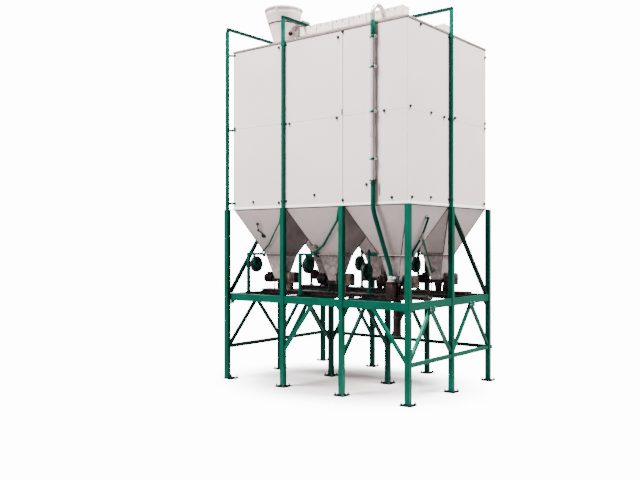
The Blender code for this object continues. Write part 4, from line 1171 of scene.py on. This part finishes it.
# Hopper fittings: a sight-glass valve with two black knobs on a bent rod, screwed to a plate on the
# first front hopper, and the small tilted sensor box that the second stay holds to the next one.
SLOPE_OUT = Vector((0, -0.880, -0.4746))
ROD_FOOT = Vector((-1.269, -1.010, 2.483))
ROD_BEND = Vector((-1.326, -1.075, 2.603))
ROD_TOP = Vector((-1.287, -1.135, 2.714))
ROD_R = 0.011
BEND_KNOB_R, TOP_KNOB_R = 0.024, 0.028
SENSOR_AT = Vector((-0.235, -0.9065, 2.290))
SENSOR_HALF = (0.058, 0.040)
SENSOR_TILT = 28.0
SENSOR_TONES = ((0.030, 0.024, 0.018), (0.110, 0.100, 0.075), (0.260, 0.240, 0.190))


def on_slope(at, tilt):
    """The matrix whose +Z leaves the sloping front of a hopper at a point, turned by an angle about it."""
    side = Vector((1, 0, 0))
    lie = Matrix((side, SLOPE_OUT.cross(side), SLOPE_OUT)).transposed().to_4x4()
    return Matrix.Translation(at) @ lie @ Matrix.Rotation(math.radians(tilt), 4, "Z")


rod, knobs, sensor = (bmesh.new() for _ in range(3))
flat_bar(rod, (-0.075, -0.030, 0.0005), (0.020, 0.030, 0.006), FINE_EDGE, on_slope(ROD_FOOT, 0.0))
bend_at, top_at = ROD_BEND + SLOPE_OUT * 0.045, ROD_TOP + SLOPE_OUT * 0.050
round_bar(rod, ROD_FOOT, bend_at, ROD_R, 12)
round_bar(rod, bend_at, top_at, ROD_R * 0.8, 12)
ball(knobs, bend_at, BEND_KNOB_R)
ball(knobs, top_at, TOP_KNOB_R)
lie = on_slope(SENSOR_AT, SENSOR_TILT)
wide, tall = SENSOR_HALF
flat_bar(sensor, (-wide, -tall, 0.0008), (wide, tall, 0.062), 0.008, lie, 3)
flat_bar(sensor, (-wide - 0.004, -tall - 0.004, 0.040), (wide + 0.004, tall + 0.004, 0.046), FINE_EDGE, lie)
gland, gland_end = lie @ Vector((wide - 0.004, 0, 0.025)), lie @ Vector((wide + 0.026, 0, 0.025))
round_bar(sensor, gland, gland_end, 0.012, 14, edge=PLATE_EDGE)
piece("valve_rod", rod, painted_shade_enamel)
piece("valve_knobs", knobs, blacked)
piece("sensor_box", sensor, make_iron("sensor_coat", *SENSOR_TONES))

# Discharge spout: a dark steel pipe that hangs from the front trough by a ring of bolts, with a band
# at its joint and one round its worn end.
BAND_R, BAND_HALF, BAND_Z = 0.071, 0.012, 1.20
SPOUT_BOLTS, SPOUT_BOLT_R = 8, 0.083
dress(["discharge_spout"], iron)
spout_low, spout_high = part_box("discharge_spout")
sx, sy = middle("discharge_spout").xy
spout_trim = bmesh.new()
for z in (BAND_Z, spout_low.z + BAND_HALF):
    drum(spout_trim, sx, sy, z - BAND_HALF, z + BAND_HALF, BAND_R, 24, PLATE_EDGE)
bolt_ring(spout_trim, sx, sy, spout_high.z - 0.015, SPOUT_BOLT_R, SPOUT_BOLTS, DOWN)
piece("spout_bands", spout_trim, blacked)

# Roof gear: a spun receiver cone for each row, hooped, rolled at its rim and closed by a dished lid,
# with a sight port; and a boxed conveyor over the next two cells, turned by a ribbed gearbox.
ROOF_SHEET, ROOF_SHADE, ROOF_DIRT = (0.520, 0.455, 0.435), (0.440, 0.385, 0.370), (0.25, 0.20, 0.18)
CONE_RATE = 0.2998
CONE_NECK = 0.125
CONE_NECK_Z = 5.706
NECK_RING_Z, NECK_RING_R = (5.712, 5.724), 0.172
RIM_RING_Z, RIM_RING_R = (6.395, 6.407), 0.322
CONE_BOLTS, CONE_BOLT_R, CONE_BOLT_Z = 10, 0.150, 5.7165
LID_CLIPS, LID_CLIP_R, LID_CLIP_Z = 5, 0.3215, 6.400
HOOP_Z, HOOP_HALF, HOOP_T = 6.180, 0.009, 0.004
PORT_Z, PORT_TURN, PORT_R = 5.990, -18.0, 0.032
CONVEYOR_EDGE, GEARBOX_EDGE = 0.003, 0.006
CONVEYOR_FLANGES = 7
CONVEYOR_FOOT = 5.900
GEARBOX_FINS, FIN_FOOT_Z, FIN_SPAN = 6, 5.885, 0.270
GEARBOX_TONES = ((0.045, 0.034, 0.030), (0.120, 0.095, 0.085), (0.260, 0.225, 0.205))


def cone_radius(z):
    return CONE_NECK + (z - CONE_NECK_Z) * CONE_RATE


roof_coat = make_sheet("roof_gear_coat", ROOF_SHEET, ROOF_SHADE, ROOF_DIRT, 0.5)
gearbox_coat = make_iron("mottled_gearbox", *GEARBOX_TONES)
dress(["roof_deck"], sheet_coat)
dress(starting("receiver_cone"), roof_coat)
dress(starting("roof_conveyor"), roof_coat, CONVEYOR_EDGE)
dress(starting("roof_drive"), gearbox_coat, GEARBOX_EDGE)
cone_trim, conveyor_trim, roof_bolts, hoops, gearbox_ribs = (bmesh.new() for _ in range(5))
for row, side in ROWS:
    cx, cy = middle(f"receiver_cone_{row}").x, side * ROW_OFF
    drum(cone_trim, cx, cy, *RIM_RING_Z, RIM_RING_R, 40, BAR_EDGE)
    drum(cone_trim, cx, cy, *NECK_RING_Z, NECK_RING_R, 32, CAST_EDGE)
    hoop_foot, hoop_top = HOOP_Z - HOOP_HALF, HOOP_Z + HOOP_HALF
    drum(hoops, cx, cy, hoop_foot, hoop_top, cone_radius(hoop_foot) + HOOP_T, 40,
         far_radius=cone_radius(hoop_top) + HOOP_T)
    bolt_ring(roof_bolts, cx, cy, CONE_BOLT_Z, CONE_BOLT_R, CONE_BOLTS, UP)
    for k in range(LID_CLIPS):
        turn = 2 * math.pi * k / LID_CLIPS
        spot = (cx + LID_CLIP_R * math.cos(turn), cy + LID_CLIP_R * math.sin(turn), LID_CLIP_Z)
        flat_bar(cone_trim, (-0.014, -0.004, -0.030), (0.014, 0.006, 0.034), PLATE_EDGE,
                 Matrix.Translation(spot) @ Matrix.Rotation(turn - math.pi / 2, 4, "Z"))
    turn = math.radians(PORT_TURN)
    spoke = Vector((math.cos(turn), math.sin(turn), 0))
    port, skin = Vector((cx, cy, PORT_Z)), cone_radius(PORT_Z)
    round_bar(hoops, port + spoke * (skin - 0.030), port + spoke * (skin + 0.026), PORT_R, 20, edge=BAR_EDGE)
    low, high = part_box(f"roof_conveyor_{row}")
    step = (high.x - low.x) / CONVEYOR_FLANGES
    for k in range(CONVEYOR_FLANGES):
        x = low.x + 0.012 + (high.x - low.x - 0.024) * k / (CONVEYOR_FLANGES - 1)
        flat_bar(conveyor_trim, (x - 0.008, low.y - 0.010, CONVEYOR_FOOT - 0.004),
                 (x + 0.008, high.y + 0.010, high.z + 0.006), PLATE_EDGE)
        if k < CONVEYOR_FLANGES - 1:
            for b, edge_y in ((-1, low.y), (1, high.y)):
                for m in (0.30, 0.72):
                    fix(roof_bolts, flange_bolt, (x + step * m, edge_y, high.z - 0.030), (0, b, 0))
    low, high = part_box(f"roof_drive_{row}")
    mx, my = (low.x + high.x) / 2, (low.y + high.y) / 2
    for k in range(GEARBOX_FINS):
        z = FIN_FOOT_Z + FIN_SPAN * k / (GEARBOX_FINS - 1)
        flat_bar(gearbox_ribs, (low.x - 0.008, low.y - 0.008, z - 0.007),
                 (high.x - 0.010, high.y + 0.008, z + 0.007), PLATE_EDGE)
    for a in (-1, 1):
        for b in (-1, 1):
            fix(roof_bolts, brace_bolt, (mx + a * 0.055, my + b * 0.072, high.z), UP)
piece("cone_trim", cone_trim, roof_coat)
piece("cone_hoops", hoops, iron)
piece("conveyor_flanges", conveyor_trim, roof_coat)
piece("gearbox_ribs", gearbox_ribs, gearbox_coat)
piece("roof_bolts", roof_bolts, zinc)
